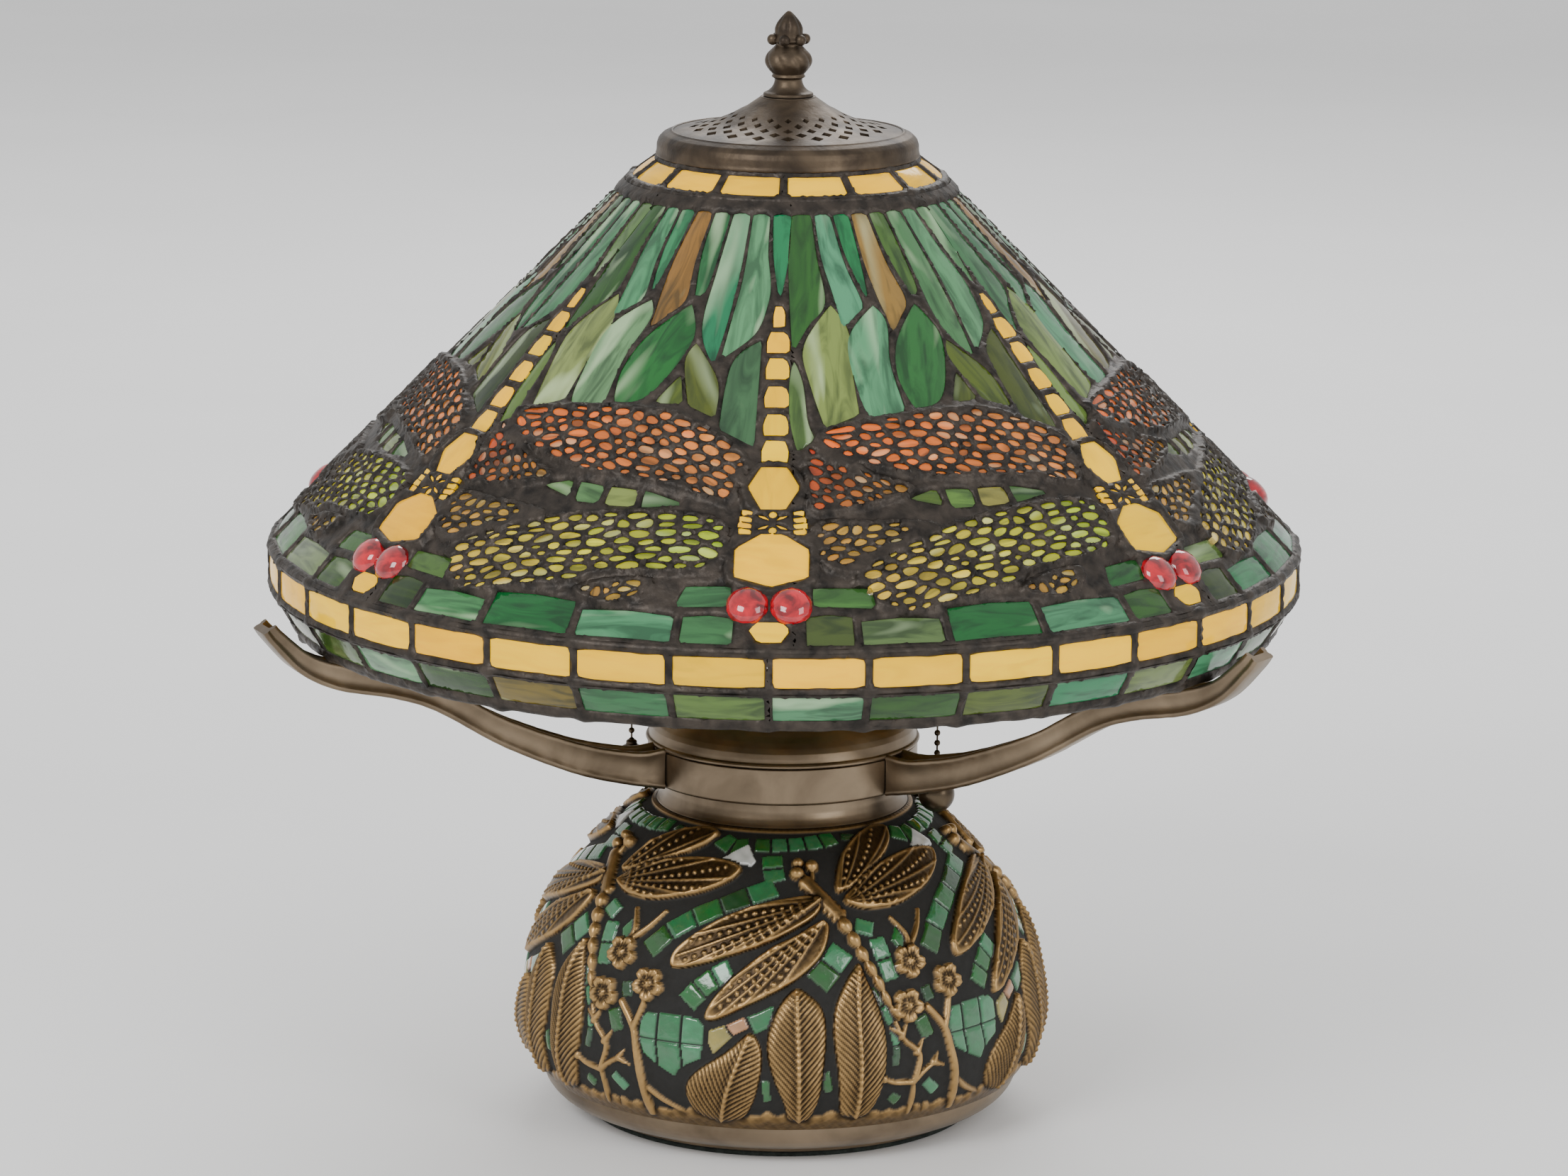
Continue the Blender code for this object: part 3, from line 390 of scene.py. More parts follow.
class Band:
    """A row of glass that unrolls flat: X across and Y down its slope, in millimetres."""

    def __init__(self, top, bottom):
        (self.r0, self.z0), (self.r1, self.z1) = top, bottom
        self.length = math.hypot(self.r1 - self.r0, self.z1 - self.z0)
        self.lean = (self.r1 - self.r0) / self.length
        self.drop = (self.z0 - self.z1) / self.length

    def flat(self, angles, shares):
        radius = self.r0 + (self.r1 - self.r0) * np.asarray(shares, float)
        turn = np.radians(np.asarray(angles, float))
        if abs(self.lean) < 1e-6:
            return np.stack([turn * radius, np.asarray(shares, float) * self.length], -1)
        reach = radius / self.lean
        return np.stack([reach * np.sin(turn * self.lean), reach * np.cos(turn * self.lean)], -1)

    def polar(self, flat):
        """Angle in degrees and radius of flat points."""
        if abs(self.lean) < 1e-6:
            return np.degrees(flat[:, 0] / self.r0), np.full(len(flat), self.r0)
        side = math.copysign(1.0, self.lean)
        angle = np.arctan2(flat[:, 0] * side, flat[:, 1] * side) / self.lean
        return np.degrees(angle), np.hypot(flat[:, 0], flat[:, 1]) * abs(self.lean)

    def solid(self, flat, height, turn=0.0):
        angle, radius = self.polar(flat)
        if abs(self.lean) < 1e-6:
            down = flat[:, 1]
        else:
            down = (radius - self.r0) / self.lean
        out = radius + self.drop * height
        z = self.z0 - self.drop * down + self.lean * height
        azimuth = np.radians(AXIS_AZ + angle + turn)
        return np.stack([out * np.cos(azimuth), out * np.sin(azimuth), z], -1)


def area_of(loop):
    """Signed area of a flat loop."""
    return 0.5 * np.sum(loop[:, 0] * np.roll(loop[:, 1], -1) - np.roll(loop[:, 0], -1) * loop[:, 1])


class Pane:
    """One opening in the lead with its glass."""

    def __init__(self, outline, colour, raised=0.0, pillow=0.5, kind="glass", step=2.6):
        outline = np.asarray(outline)
        outline = outline if area_of(outline) > 0 else outline[::-1]
        self.outline, self.colour, self.raised = resampled(outline, step), colour, raised
        self.pillow, self.kind, self.step = pillow, kind, step


def pane_on(band, corners, colour, smooth=4, raised=0.0, pillow=0.55, kind="glass", step=2.4, grow=0.0):
    """A pane from (angle, share) corners; smooth is the number of points between two corners."""
    corners = np.asarray(corners, float)
    flat = band.flat(corners[:, 0], corners[:, 1])
    if smooth > 1:
        flat = cut_line(flat, smooth)
    if grow:
        flat = grown(resampled(flat, 1.6), grow)
    return Pane(flat, colour, raised, pillow, kind, step)


def turned_flat(band, flat, degrees):
    """Flat points moved round the band by an angle."""
    if abs(band.lean) < 1e-6:
        return flat + np.array([[math.radians(degrees) * band.r0, 0.0]])
    swing = math.radians(degrees) * band.lean
    c, s = math.cos(swing), math.sin(swing)
    return np.stack([flat[:, 0] * c + flat[:, 1] * s, -flat[:, 0] * s + flat[:, 1] * c], -1)


def leaded(band, panes, sector, trims, wings=(), start=None, grid=1.7):
    """Triangulates one sector: lead with its openings, and the glass in them.

    Returns the flat points, the lead triangles and, per pane, its triangles. The panes are laid out
    with both neighbours, so that the sector meets itself when it is turned round the lamp."""
    start = -sector + 2.0 if start is None else start
    points, loops, owners = [], [], []
    for shift in (-1, 0, 1):
        for index, pane in enumerate(panes):
            loop = turned_flat(band, pane.outline, shift * sector)
            loops.append(list(range(len(points), len(points) + len(loop))))
            points.extend(loop.tolist())
            owners.append(index if shift == 0 else -1)
    edge = np.array(points)
    search = tree_of(edge)
    lo, hi = start - 0.9 * sector, start + 1.9 * sector
    across = np.linspace(lo, hi, int(2.8 * sector / 0.9))
    rim = np.vstack([band.flat(across, np.full(len(across), trims[0])),
                     band.flat(across[::-1], np.full(len(across), trims[1]))])
    boundary = list(range(len(points), len(points) + len(rim)))
    points.extend(rim.tolist())
    box_lo, box_hi = rim.min(0), rim.max(0)
    xs, ys = np.arange(box_lo[0], box_hi[0], grid), np.arange(box_lo[1], box_hi[1], grid)
    cloud = np.stack(np.meshgrid(xs, ys), -1).reshape(-1, 2)
    cloud += random.uniform(-0.25, 0.25, cloud.shape) * grid
    angle, radius = band.polar(cloud)
    cloud = cloud[(angle > start - 8) & (angle < start + sector + 8) & inside(cloud, rim)]
    gap = gap_to(cloud, search)
    within = np.zeros(len(cloud), int) - 1
    for index, loop in enumerate(loops):
        outline = edge[loop]
        near = np.all((cloud >= outline.min(0)) & (cloud <= outline.max(0)), axis=1) & (within < 0)
        if near.any():
            hit = np.where(near)[0]
            within[hit[inside(cloud[hit], outline)]] = index
    sparse = ((np.floor(cloud[:, 0] / grid) + np.floor(cloud[:, 1] / grid)) % 2 == 0) & (gap > 1.6)
    keep = ((within < 0) & (gap > 0.55)) | ((within >= 0) & sparse)
    extra = cloud[keep]
    points.extend(extra.tolist())
    for pane, loop in zip(panes * 3, loops):
        if pane.step < 2.0:
            outline = edge[loop]
            points.extend((outline.mean(0) + (outline[::2] - outline.mean(0)) * 0.5).tolist())
    for wing in wings:
        for shift in (-1, 0, 1):
            line = turned_flat(band, wing, shift * sector)
            line = line[gap_to(line, search) > 0.5]
            points.extend(line.tolist())
    flat, _, faces, _, _, parents = delaunay_2d_cdt([Vector(p) for p in points], [], [boundary] + loops, 1, 1e-5, True)
    flat = np.array([tuple(p) for p in flat])
    lead, glass = [], [[] for _ in panes]
    for face, parent in zip(faces, parents):
        centre = flat[list(face)].mean(0)
        holes = [p - 1 for p in parent if p > 0]
        if holes:
            owner = owners[holes[0]]
            if owner >= 0:
                glass[owner].append(tuple(face))
            continue
        if 0 not in parent:
            continue
        angle = band.polar(centre[None])[0][0]
        if start <= angle < start + sector:
            lead.append(tuple(face))
    return flat, lead, glass, search


def facing_out(flat, face):
    """The triangle turned so that it faces out of the lamp (flat Y runs down)."""
    a, b, c = (flat[i] for i in face)
    cross = (b[0] - a[0]) * (c[1] - a[1]) - (b[1] - a[1]) * (c[0] - a[0])
    return face if cross < 0 else face[::-1]


def open_edges(faces):
    """Directed edges that only one face has."""
    seen = set()
    for a, b, c in faces:
        seen.update(((a, b), (b, c), (c, a)))
    return [(a, b) for a, b in seen if (b, a) not in seen]


def skin(band, flat, faces, front, back):
    """Front and back sheets of the faces with their edges closed: points and faces."""
    used = sorted({i for face in faces for i in face})
    number = {old: new for new, old in enumerate(used)}
    sub = flat[used]
    faces = [tuple(number[i] for i in facing_out(flat, face)) for face in faces]
    count = len(used)
    result = list(faces) + [tuple(i + count for i in face[::-1]) for face in faces]
    for a, b in open_edges(faces):
        result.append((b, a, a + count, b + count))
    return sub, result, front[used], back[used]


def sector_pieces(name, band, panes, sector, copies, body, nodes, trims=(0.0, 1.0), wings=(), raise_at=None,
                  start=None, grid=1.7, vary=0.12):
    """Leads and glass of one sector, repeated round the lamp with each pane's colour varied."""
    flat, lead, glass, search = leaded(band, panes, sector, trims, wings, start, grid)
    gap = gap_to(flat, search)
    lift = raise_at(flat) if raise_at else np.zeros(len(flat))
    ridge = np.sqrt(np.clip(gap / 1.35, 0.0, 1.0))
    lumps = ripple(flat[:, 0] * 0.9, flat[:, 1] * 0.9)
    front = lift + 0.25 + (LEAD_TOP - 0.25) * ridge + 0.16 * lumps * ridge
    back = np.full(len(flat), BACK) - 0.8 * ridge
    points, faces, high, low = skin(band, flat, lead, front, back)
    made = []
    for copy in range(copies):
        turn = copy * sector
        solid = np.vstack([band.solid(points, high, turn), band.solid(points, low, turn)])
        made.append(make("%s_lead_%d" % (name, copy), solid, faces, LEAD, body, nodes, sharp=60))
    sheets = {}
    for index, pane in enumerate(panes):
        if not glass[index]:
            continue
        centre = pane.outline.mean(0)
        spread_of = np.linalg.svd(pane.outline - centre)[2]
        own_front = pane.raised + pane.pillow * (1.0 - np.exp(-gap / 2.2)) + 0.1 * lumps
        own_back = np.full(len(flat), BACK + 0.25)
        pts, fcs, hi, lo = skin(band, flat, glass[index], own_front, own_back)
        local = (pts - centre) @ spread_of.T
        sheets.setdefault(pane.kind, []).append((pane, pts, fcs, hi, lo, local))
    for kind, rows in sheets.items():
        for copy in range(copies):
            turn = copy * sector
            all_points, all_faces, tints, flows = [], [], [], []
            for pane, pts, fcs, hi, lo, local in rows:
                offset = sum(len(p) for p in all_points)
                both = np.vstack([band.solid(pts, hi, turn), band.solid(pts, lo, turn)])
                all_points.append(both)
                all_faces.extend(tuple(i + offset for i in face) for face in fcs)
                colour = np.array(pane.colour)
                if kind == "glass":
                    other = np.array(list(GREENS.values())[random.integers(0, len(GREENS))])
                    colour = colour + (other - colour) * random.uniform(0.0, 0.45)
                colour = colour * random.uniform(1 - vary, 1 + vary)
                colour = np.clip(colour * random.uniform(1 - vary * 0.5, 1 + vary * 0.5, 3), 0.0, 0.95)
                tints.append(np.tile(np.r_[colour, 1.0], (len(both), 1)))
                seed = random.uniform(0.0, 60.0)
                run = np.stack([local[:, 0] * 0.035, local[:, 1] * 0.17, np.full(len(local), seed)], -1)
                flows.append(np.vstack([run, run]))
            mat = AMBER if kind == "amber" else GLASS
            made.append(make("%s_%s_%d" % (name, kind, copy), np.vstack(all_points), all_faces, mat, body, nodes,
                             sharp=50, layers={"tint": np.vstack(tints), "flow": np.vstack(flows)}))
    return made


def cells_in(outline, spacing, stretch, colours, raised, avoid=()):
    """Rounded cells that fill a wing: relaxed Voronoi cells, longer along the wing than across."""
    centre = outline.mean(0)
    frame_axes = np.linalg.svd(outline - centre)[2]
    local = (outline - centre) @ frame_axes.T
    local[:, 0] /= stretch
    rim = resampled(local, 1.0)
    lo, hi = rim.min(0), rim.max(0)
    seeds = []
    row = 0
    for y in np.arange(lo[1] - spacing, hi[1] + spacing, spacing * 0.87):
        for x in np.arange(lo[0] - spacing, hi[0] + spacing, spacing):
            seeds.append((x + (row % 2) * spacing * 0.5, y))
        row += 1
    seeds = np.array(seeds) + random.uniform(-0.36, 0.36, (len(seeds), 2)) * spacing
    search = tree_of(rim)
    safe = inside(seeds, rim) & (gap_to(seeds, search) > 0.75)
    keep = safe | ~inside(seeds, rim)
    seeds = seeds[keep]
    panes = []
    for i, seed in enumerate(seeds):
        if not inside(seed[None], rim)[0]:
            continue
        cell = np.array([[-1, -1], [1, -1], [1, 1], [-1, 1]], float) * spacing * 1.4 + seed
        order = np.argsort(np.linalg.norm(seeds - seed, axis=1))[1:14]
        for other in seeds[order]:
            away = other - seed
            size = np.linalg.norm(away)
            cell = clipped(cell, away / size, (away / size) @ (seed + other) / 2 - 0.36)
            if len(cell) < 3:
                break
        if len(cell) < 3:
            continue
        cell = resampled(cell, spacing * 0.35)
        out = ~inside(cell, rim) | (gap_to(cell, search) < 1.15)
        for k in np.where(out)[0]:
            toward = seed - cell[k]
            for share in np.linspace(0.1, 1.0, 10):
                probe = (cell[k] + toward * share)[None]
                if inside(probe, rim)[0] and gap_to(probe, search)[0] >= 1.15:
                    break
            cell[k] = probe[0]
        cell = (np.roll(cell, 1, 0) + 2 * cell + np.roll(cell, -1, 0)) / 4
        if abs(area_of(cell)) < 0.09 * spacing * spacing:
            continue
        world = cell * np.array([stretch, 1.0]) @ frame_axes + centre
        if any(inside(world, other).any() or gap_to(world, tree_of(other)).min() < 1.8 for other in avoid):
            continue
        along = (seed[0] - lo[0]) / (hi[0] - lo[0])
        shade = colours[0] * (1 - along) + colours[1] * along
        shade = np.clip(shade * random.uniform(0.7, 1.3), 0, 0.95)
        panes.append(Pane(world, tuple(shade), raised, 0.35, "wings", 1.5))
    return panes


def clipped(cell, normal, limit):
    """The part of a convex cell on the near side of a line."""
    result = []
    side = cell @ normal - limit
    for i in range(len(cell)):
        j = (i + 1) % len(cell)
        if side[i] <= 0:
            result.append(cell[i])
        if (side[i] < 0) != (side[j] < 0):
            result.append(cell[i] + (cell[j] - cell[i]) * side[i] / (side[i] - side[j]))
    return np.array(result)


CONE = Band((62.3, 375.5), (203.4, 231.5))
BORDER = Band((203.4, 231.5), (203.4, 216.5))
SKIRT = Band((203.4, 216.5), (195.0, 202.5))
CAP_RING = Band((51.0, 383.7), (62.3, 375.5))
TURN = 360.0 / SECTORS

LEAVES = [
    ("dark_olive", [(-3.6, .324), (-8.4, .377), (-8.8, .52), (-3.4, .555)]),
    ("olive", [(-16.4, .336), (-10.8, .417), (-10.1, .495), (-14.7, .471), (-17.4, .376)]),
    ("olive", [(-17.7, .411), (-16.1, .469), (-20.6, .47)]),
    ("emerald", [(-20.1, .249), (-17.5, .323), (-20.8, .422), (-23.9, .468), (-28.1, .476), (-29.2, .407),
                 (-27.2, .329)]),
    ("pale_teal", [(-30.3, .247), (-28.6, .286), (-30.4, .377), (-30.1, .483), (-36.1, .491), (-37.1, .438),
                   (-37.2, .321)]),
    ("veined", [(-40.0, .243), (-37.3, .304), (-38.0, .405), (-38.0, .486), (-43.5, .514), (-45.3, .425),
                (-46.3, .335)]),
    ("light_leaf", [(-48.4, .37), (-47.1, .42), (-46.6, .5), (-45.6, .54), (-48.0, .565), (-49.0, .5), (-49.1, .42)]),
    ("teal", [(-2.5, .035), (-1.7, .13), (0, .222), (1.7, .13), (2.5, .035)]),
    ("pale_teal", [(-9.1, .035), (-8.9, .17), (-9.9, .28), (-10.6, .362), (-5.0, .305), (-2.9, .235), (-2.7, .19),
                   (-4.0, .12), (-4.4, .035)]),
    ("teal", [(-15.6, .035), (-16.0, .17), (-16.2, .27), (-15.0, .325), (-12.2, .375), (-11.3, .29), (-10.6, .17),
              (-10.8, .035)]),
    ("moss", [(-22.0, .035), (-21.6, .13), (-19.6, .228), (-17.7, .2), (-17.4, .035)]),
    ("brown_orange", [(-28.4, .035), (-29.0, .14), (-28.4, .22), (-27.7, .27), (-27.6, .305), (-24.7, .27),
                      (-22.1, .235), (-23.4, .15), (-23.8, .035)]),
    ("teal", [(-34.6, .035), (-33.6, .13), (-31.2, .225), (-30.6, .14), (-30.2, .035)]),
    ("pale_teal", [(-40.7, .035), (-40.4, .13), (-38.9, .21), (-37.9, .29), (-34.9, .262), (-32.9, .238),
                   (-35.0, .15), (-36.5, .035)]),
    ("moss", [(-48.0, .035), (-49.2, .13), (-48.9, .24), (-48.5, .34), (-45.5, .285), (-41.5, .235), (-42.3, .13),
              (-42.6, .035)]),
    ("moss", [(-9.6, .868), (-4.6, .864), (-4.7, .902), (-10.4, .908)]),
    ("light_leaf", [(4.9, .866), (11.2, .868), (11.6, .906), (4.9, .9)]),
    ("olive", [(-32.6, .676), (-29.0, .66), (-28.6, .692)]),
    ("light_leaf", [(-27.4, .662), (-23.9, .666), (-24.1, .7), (-27.2, .7)]),
    ("veined", [(-22.6, .666), (-18.9, .668), (-18.8, .7), (-22.8, .702)]),
    ("moss", [(-17.6, .668), (-12.2, .69), (-17.5, .7)]),
]
LOWER_ROW = [("moss", -9.4, -3.9, .93), ("pale_teal", -20.8, -10.4, .93), ("emerald", -31.9, -21.8, .915),
             ("teal", -41.6, -32.9, .935), ("dark_olive", 3.9, 8.9, .925)]
UPPER_WING = [(-45.4, .551), (-45.5, .528), (-39.4, .509), (-29, .491), (-16.3, .493), (-8.7, .537), (-4.2, .579),
              (-3.8, .605), (-5.8, .685), (-9.0, .678), (-15.9, .652), (-28.1, .639), (-35.8, .615), (-41.4, .589)]
LOWER_WING = [(-41.6, .875), (-41.0, .829), (-35.8, .782), (-28.2, .738), (-13.9, .71), (-6.6, .723), (-5.3, .773),
              (-6.4, .824), (-11.3, .843), (-19.7, .854), (-23.6, .88), (-34.9, .924), (-38.8, .912)]
UPPER_STUB = [(4.1, .58), (6.0, .556), (8.6, .556), (13.7, .62), (19.4, .655), (16.1, .683), (8.5, .705), (4.9, .7)]
LOWER_STUB = [(5.4, .729), (11.9, .725), (21.0, .738), (18.9, .785), (12.8, .83), (8.2, .838), (5.2, .80)]
PEEKING_TIP = [(-22.6, .893), (-18.9, .866), (-13.9, .858), (-14.2, .892), (-18.5, .92)]
ORANGE = (np.array((0.72, 0.11, 0.005)), np.array((0.66, 0.22, 0.04)))
LIME = (np.array((0.66, 0.42, 0.04)), np.array((0.34, 0.48, 0.004)))
EMBER = (np.array((0.4, 0.025, 0.004)), np.array((0.34, 0.16, 0.02)))
STRAW = (np.array((0.42, 0.2, 0.03)), np.array((0.46, 0.3, 0.03)))


def flat_outline(band, corners, steps=6):
    corners = np.asarray(corners, float)
    return curve(band.flat(corners[:, 0], corners[:, 1]), steps, True)


def cone_panes():
    """Every opening of one sector of the cone, and the outlines of its raised wings."""
    panes = [pane_on(CONE, corners, GREENS[colour], 5, grow=0.55) for colour, corners in LEAVES]
    for colour, left, right, top in LOWER_ROW:
        corners = [(left, top), ((left + right) / 2, top - 0.006), (right, top), (right, .985), (left, .985)]
        panes.append(pane_on(CONE, corners, GREENS[colour], 1))
    for index, share in enumerate((.245, .303, .362, .425, .487, .545)):
        half = (2.0, 2.25, 2.15, 2.1, 2.0, 2.0)[index] * (0.62 if index == 0 else 1.0)
        low = share + 0.046
        corners = [(-half * 0.7, share), (half * 0.7, share), (half, share + .02), (half * 0.95, low),
                   (-half * 0.95, low), (-half, share + .02)]
        panes.append(pane_on(CONE, corners, YELLOW, 1, 0.5, 0.4, "amber"))
    solid_parts = (
        ([(-1.9, .607), (1.9, .607), (3.6, .652), (1.6, .7), (-1.6, .7), (-3.6, .652)], 1.6, 0.7),
        ([(-1.4, .752), (1.4, .752), (4.5, .785), (4.3, .846), (0, .866), (-4.3, .846), (-4.5, .785)], 1.6, 0.8),
        ([(-1.3, .937), (1.3, .937), (2.2, .953), (1.2, .979), (-1.2, .979), (-2.2, .953)], 0.5, 0.5))
    for corners, raised, pillow in solid_parts:
        panes.append(pane_on(CONE, corners, YELLOW, 1, raised, pillow, "amber"))
    for side in (-1, 1):
        bars = [[(2.6, low), (reach * 1.25, low - 0.004), (reach * 1.25, high), (2.7, high)]
                for low, high, reach in ((.704, .712, 3.2), (.718, .728, 3.4), (.731, .741, 3.5), (.744, .754, 3.4))]
        bars += [[(0.35, .728 + away * .004), (1.6, .728 + away * .010), (2.0, .728 + away * .016),
                  (0.9, .728 + away * .013)] for away in (-1, 1)]
        for bar in bars:
            corners = [(side * across, share) for across, share in bar]
            panes.append(pane_on(CONE, corners, YELLOW, 1, 1.6, 0.3, "amber", 1.4))
    for share in (.711, .745):
        centre = CONE.flat([0.0], [share])[0]
        ring = [(centre[0] + 1.6 * math.cos(a), centre[1] + 1.6 * math.sin(a)) for a in np.arange(0, 6.2, 0.6)]
        panes.append(Pane(np.array(ring), YELLOW, 1.6, 0.5, "amber", 1.2))
    upper, under = flat_outline(CONE, UPPER_WING), flat_outline(CONE, LOWER_WING)
    stubs = [flat_outline(CONE, UPPER_STUB), flat_outline(CONE, LOWER_STUB)]
    tip = flat_outline(CONE, PEEKING_TIP)
    covers = [turned_flat(CONE, outline, TURN) for outline in (upper, under)]
    panes += cells_in(upper, 4.4, 1.7, ORANGE, 1.6)
    panes += cells_in(under, 4.2, 2.1, LIME, 1.6)
    panes += cells_in(stubs[0], 3.9, 1.5, EMBER, 1.6, covers)
    panes += cells_in(stubs[1], 3.8, 1.9, STRAW, 1.6, covers)
    panes += cells_in(tip, 3.6, 1.6, STRAW, 1.6, [under])
    body = flat_outline(CONE, [(-2.2, .6), (2.2, .6), (4.4, .652), (3.6, .705), (4.6, .745), (5.4, .785), (5.1, .855),
                               (0, .88), (-5.1, .855), (-5.4, .785), (-4.6, .745), (-3.6, .705), (-4.4, .652)], 3)
    return panes, [upper, under, *stubs, tip, body]


def lift_on(outlines, height=1.8):
    """How far the lead stands up over raised outlines, with a bead along their edge."""
    everywhere = [turned_flat(CONE, o, shift * TURN) for o in outlines for shift in (-1, 0, 1)]

    def lift(flat):
        result = np.zeros(len(flat))
        for outline in everywhere:
            near = np.where(np.all((flat > outline.min(0) - 4) & (flat < outline.max(0) + 4), axis=1))[0]
            if not len(near):
                continue
            dense = resampled(outline, 0.8)
            away = gap_to(flat[near], tree_of(dense))
            away = np.where(inside(flat[near], outline), away, -away)
            step = np.clip((away + 1.2) / 2.4, 0.0, 1.0)
            here = height * step * step * (3 - 2 * step) + 0.45 * np.exp(-((away - 0.5) / 0.9) ** 2)
            result[near] = np.maximum(result[near], here)
        return result
    return lift


def make_cone():
    panes, outlines = cone_panes()
    wide = []
    for outline in outlines:
        dense = resampled(outline, 1.8)
        tangent = np.roll(dense, -1, 0) - np.roll(dense, 1, 0)
        normal = np.stack([tangent[:, 1], -tangent[:, 0]], -1)
        normal /= np.linalg.norm(normal, axis=1)[:, None]
        wide += [dense - 1.3 * normal, dense, dense + 1.3 * normal]
    nodes = ["cone_glass"] + ["dragonfly_%d" % i for i in range(SECTORS)]
    sector_pieces("cone", CONE, panes, TURN, SECTORS, "shade", nodes, (0.006, 0.994), wide,
                  lift_on(outlines), start=-TURN + 2.6)


def row_panes(band, count, colours, kind, inset, share=(0.1, 0.9)):
    """Equal panes of a narrow row, each a rounded rectangle."""
    step = 360.0 / count
    panes = []
    for index, colour in enumerate(colours):
        left, right = index * step + inset, (index + 1) * step - inset
        across = np.linspace(left, right, 4)
        corners = [(a, share[0]) for a in across] + [(a, share[1]) for a in across[::-1]]
        panes.append(pane_on(band, corners, colour, 1, 0.0, 0.5, kind, 3.0))
    return panes


def make_rows():
    yellow_row = row_panes(BORDER, 35, [YELLOW] * 5, "amber", 0.42, (0.13, 0.87))
    sector_pieces("border", BORDER, yellow_row, TURN, SECTORS, "shade", ["border_glass"],
                  (0.01, 0.99), start=0.0, grid=2.0)
    shades = [GREENS[k] for k in ("pale_teal", "moss", "olive", "teal", "light_leaf")]
    sector_pieces("skirt", SKIRT, row_panes(SKIRT, 35, shades, "glass", 0.42, (0.12, 0.84)), TURN, SECTORS, "shade",
                  ["skirt_glass"], (0.01, 0.99), start=0.0, grid=2.0)
    sector_pieces("ring", CAP_RING, row_panes(CAP_RING, 14, [YELLOW] * 2, "amber", 1.7, (0.1, 0.84)), TURN, SECTORS,
                  "shade", ["cap_ring_glass"], (0.01, 0.99), start=0.0, grid=1.6)


def make_eyes():
    """Two red jewels on each dragonfly, domed and cut into soft facets, in a lead collar."""
    for copy in range(SECTORS):
        points, faces = [], []
        for b in (-2.5, 2.3):
            centre = CONE.flat([b], [.903])[0]
            rings = [(7.9, 0.4), (7.6, 1.6), (6.6, 3.0), (5.0, 4.1), (2.9, 4.8), (0.8, 5.0)]
            start = len(points)
            for k, (radius, height) in enumerate(rings):
                for s in range(24):
                    a = 2 * math.pi * s / 24
                    wave = 1.0 + (0.035 * math.cos(8 * a + k * math.pi) if 0 < k < 5 else 0.0)
                    here = centre + radius * wave * np.array([math.cos(a), math.sin(a)])
                    points.append(CONE.solid(here[None], np.array([height]), copy * TURN)[0])
            faces += [tuple(start + i for i in face) for face in quads(len(rings), 24, flip=True)]
            faces.append(tuple(start + 5 * 24 + s for s in range(24))[::-1])
            faces.append(tuple(start + s for s in range(24)))
        make("jewels_%d" % copy, points, faces, JEWEL, "shade", ["dragonfly_%d" % copy], sharp=28)


make_cone()
make_rows()
make_eyes()


# ---------------------------------------------------------------- the bowl

BOWL_LINE = curve([(96.0, 17.4), (100.9, 24.8), (103.6, 32.6), (104.5, 40.4), (102.9, 53.9), (99.9, 67.4),
                   (95.3, 79.3), (89.6, 89.4), (81.8, 99.1), (73.7, 108.0), (65.1, 116.4), (57.5, 121.9),
                   (50.5, 124.9)], 8)
BOWL_RUN = np.r_[0.0, np.cumsum(np.linalg.norm(np.diff(BOWL_LINE, axis=0), axis=1))]
BOWL_TURN = 360.0 / REPEATS
BRONZE_LOW, BRONZE_HIGH = np.array((0.03, 0.019, 0.011)), np.array((0.56, 0.35, 0.14))
GROUT = np.array((0.009, 0.009, 0.008))
TILE_GREENS = [(0.008, 0.11, 0.014), (0.015, 0.16, 0.035), (0.025, 0.2, 0.07), (0.05, 0.26, 0.11),
               (0.01, 0.07, 0.018)]


def bowl_at(angle, along):
    """Point and outward direction of the bowl's face at an angle in degrees and a run up its outline."""
    radius, z = np.interp(along, BOWL_RUN, BOWL_LINE[:, 0]), np.interp(along, BOWL_RUN, BOWL_LINE[:, 1])
    ahead = np.clip(along + 1.5, 0, BOWL_RUN[-1])
    behind = np.clip(along - 1.5, 0, BOWL_RUN[-1])
    dr = np.interp(ahead, BOWL_RUN, BOWL_LINE[:, 0]) - np.interp(behind, BOWL_RUN, BOWL_LINE[:, 0])
    dz = np.interp(ahead, BOWL_RUN, BOWL_LINE[:, 1]) - np.interp(behind, BOWL_RUN, BOWL_LINE[:, 1])
    size = np.hypot(dr, dz)
    azimuth = np.radians(angle - 90.0)
    place = np.stack([radius * np.cos(azimuth), radius * np.sin(azimuth), z], -1)
    out = np.stack([dz / size * np.cos(azimuth), dz / size * np.sin(azimuth), -dr / size], -1)
    return place, out


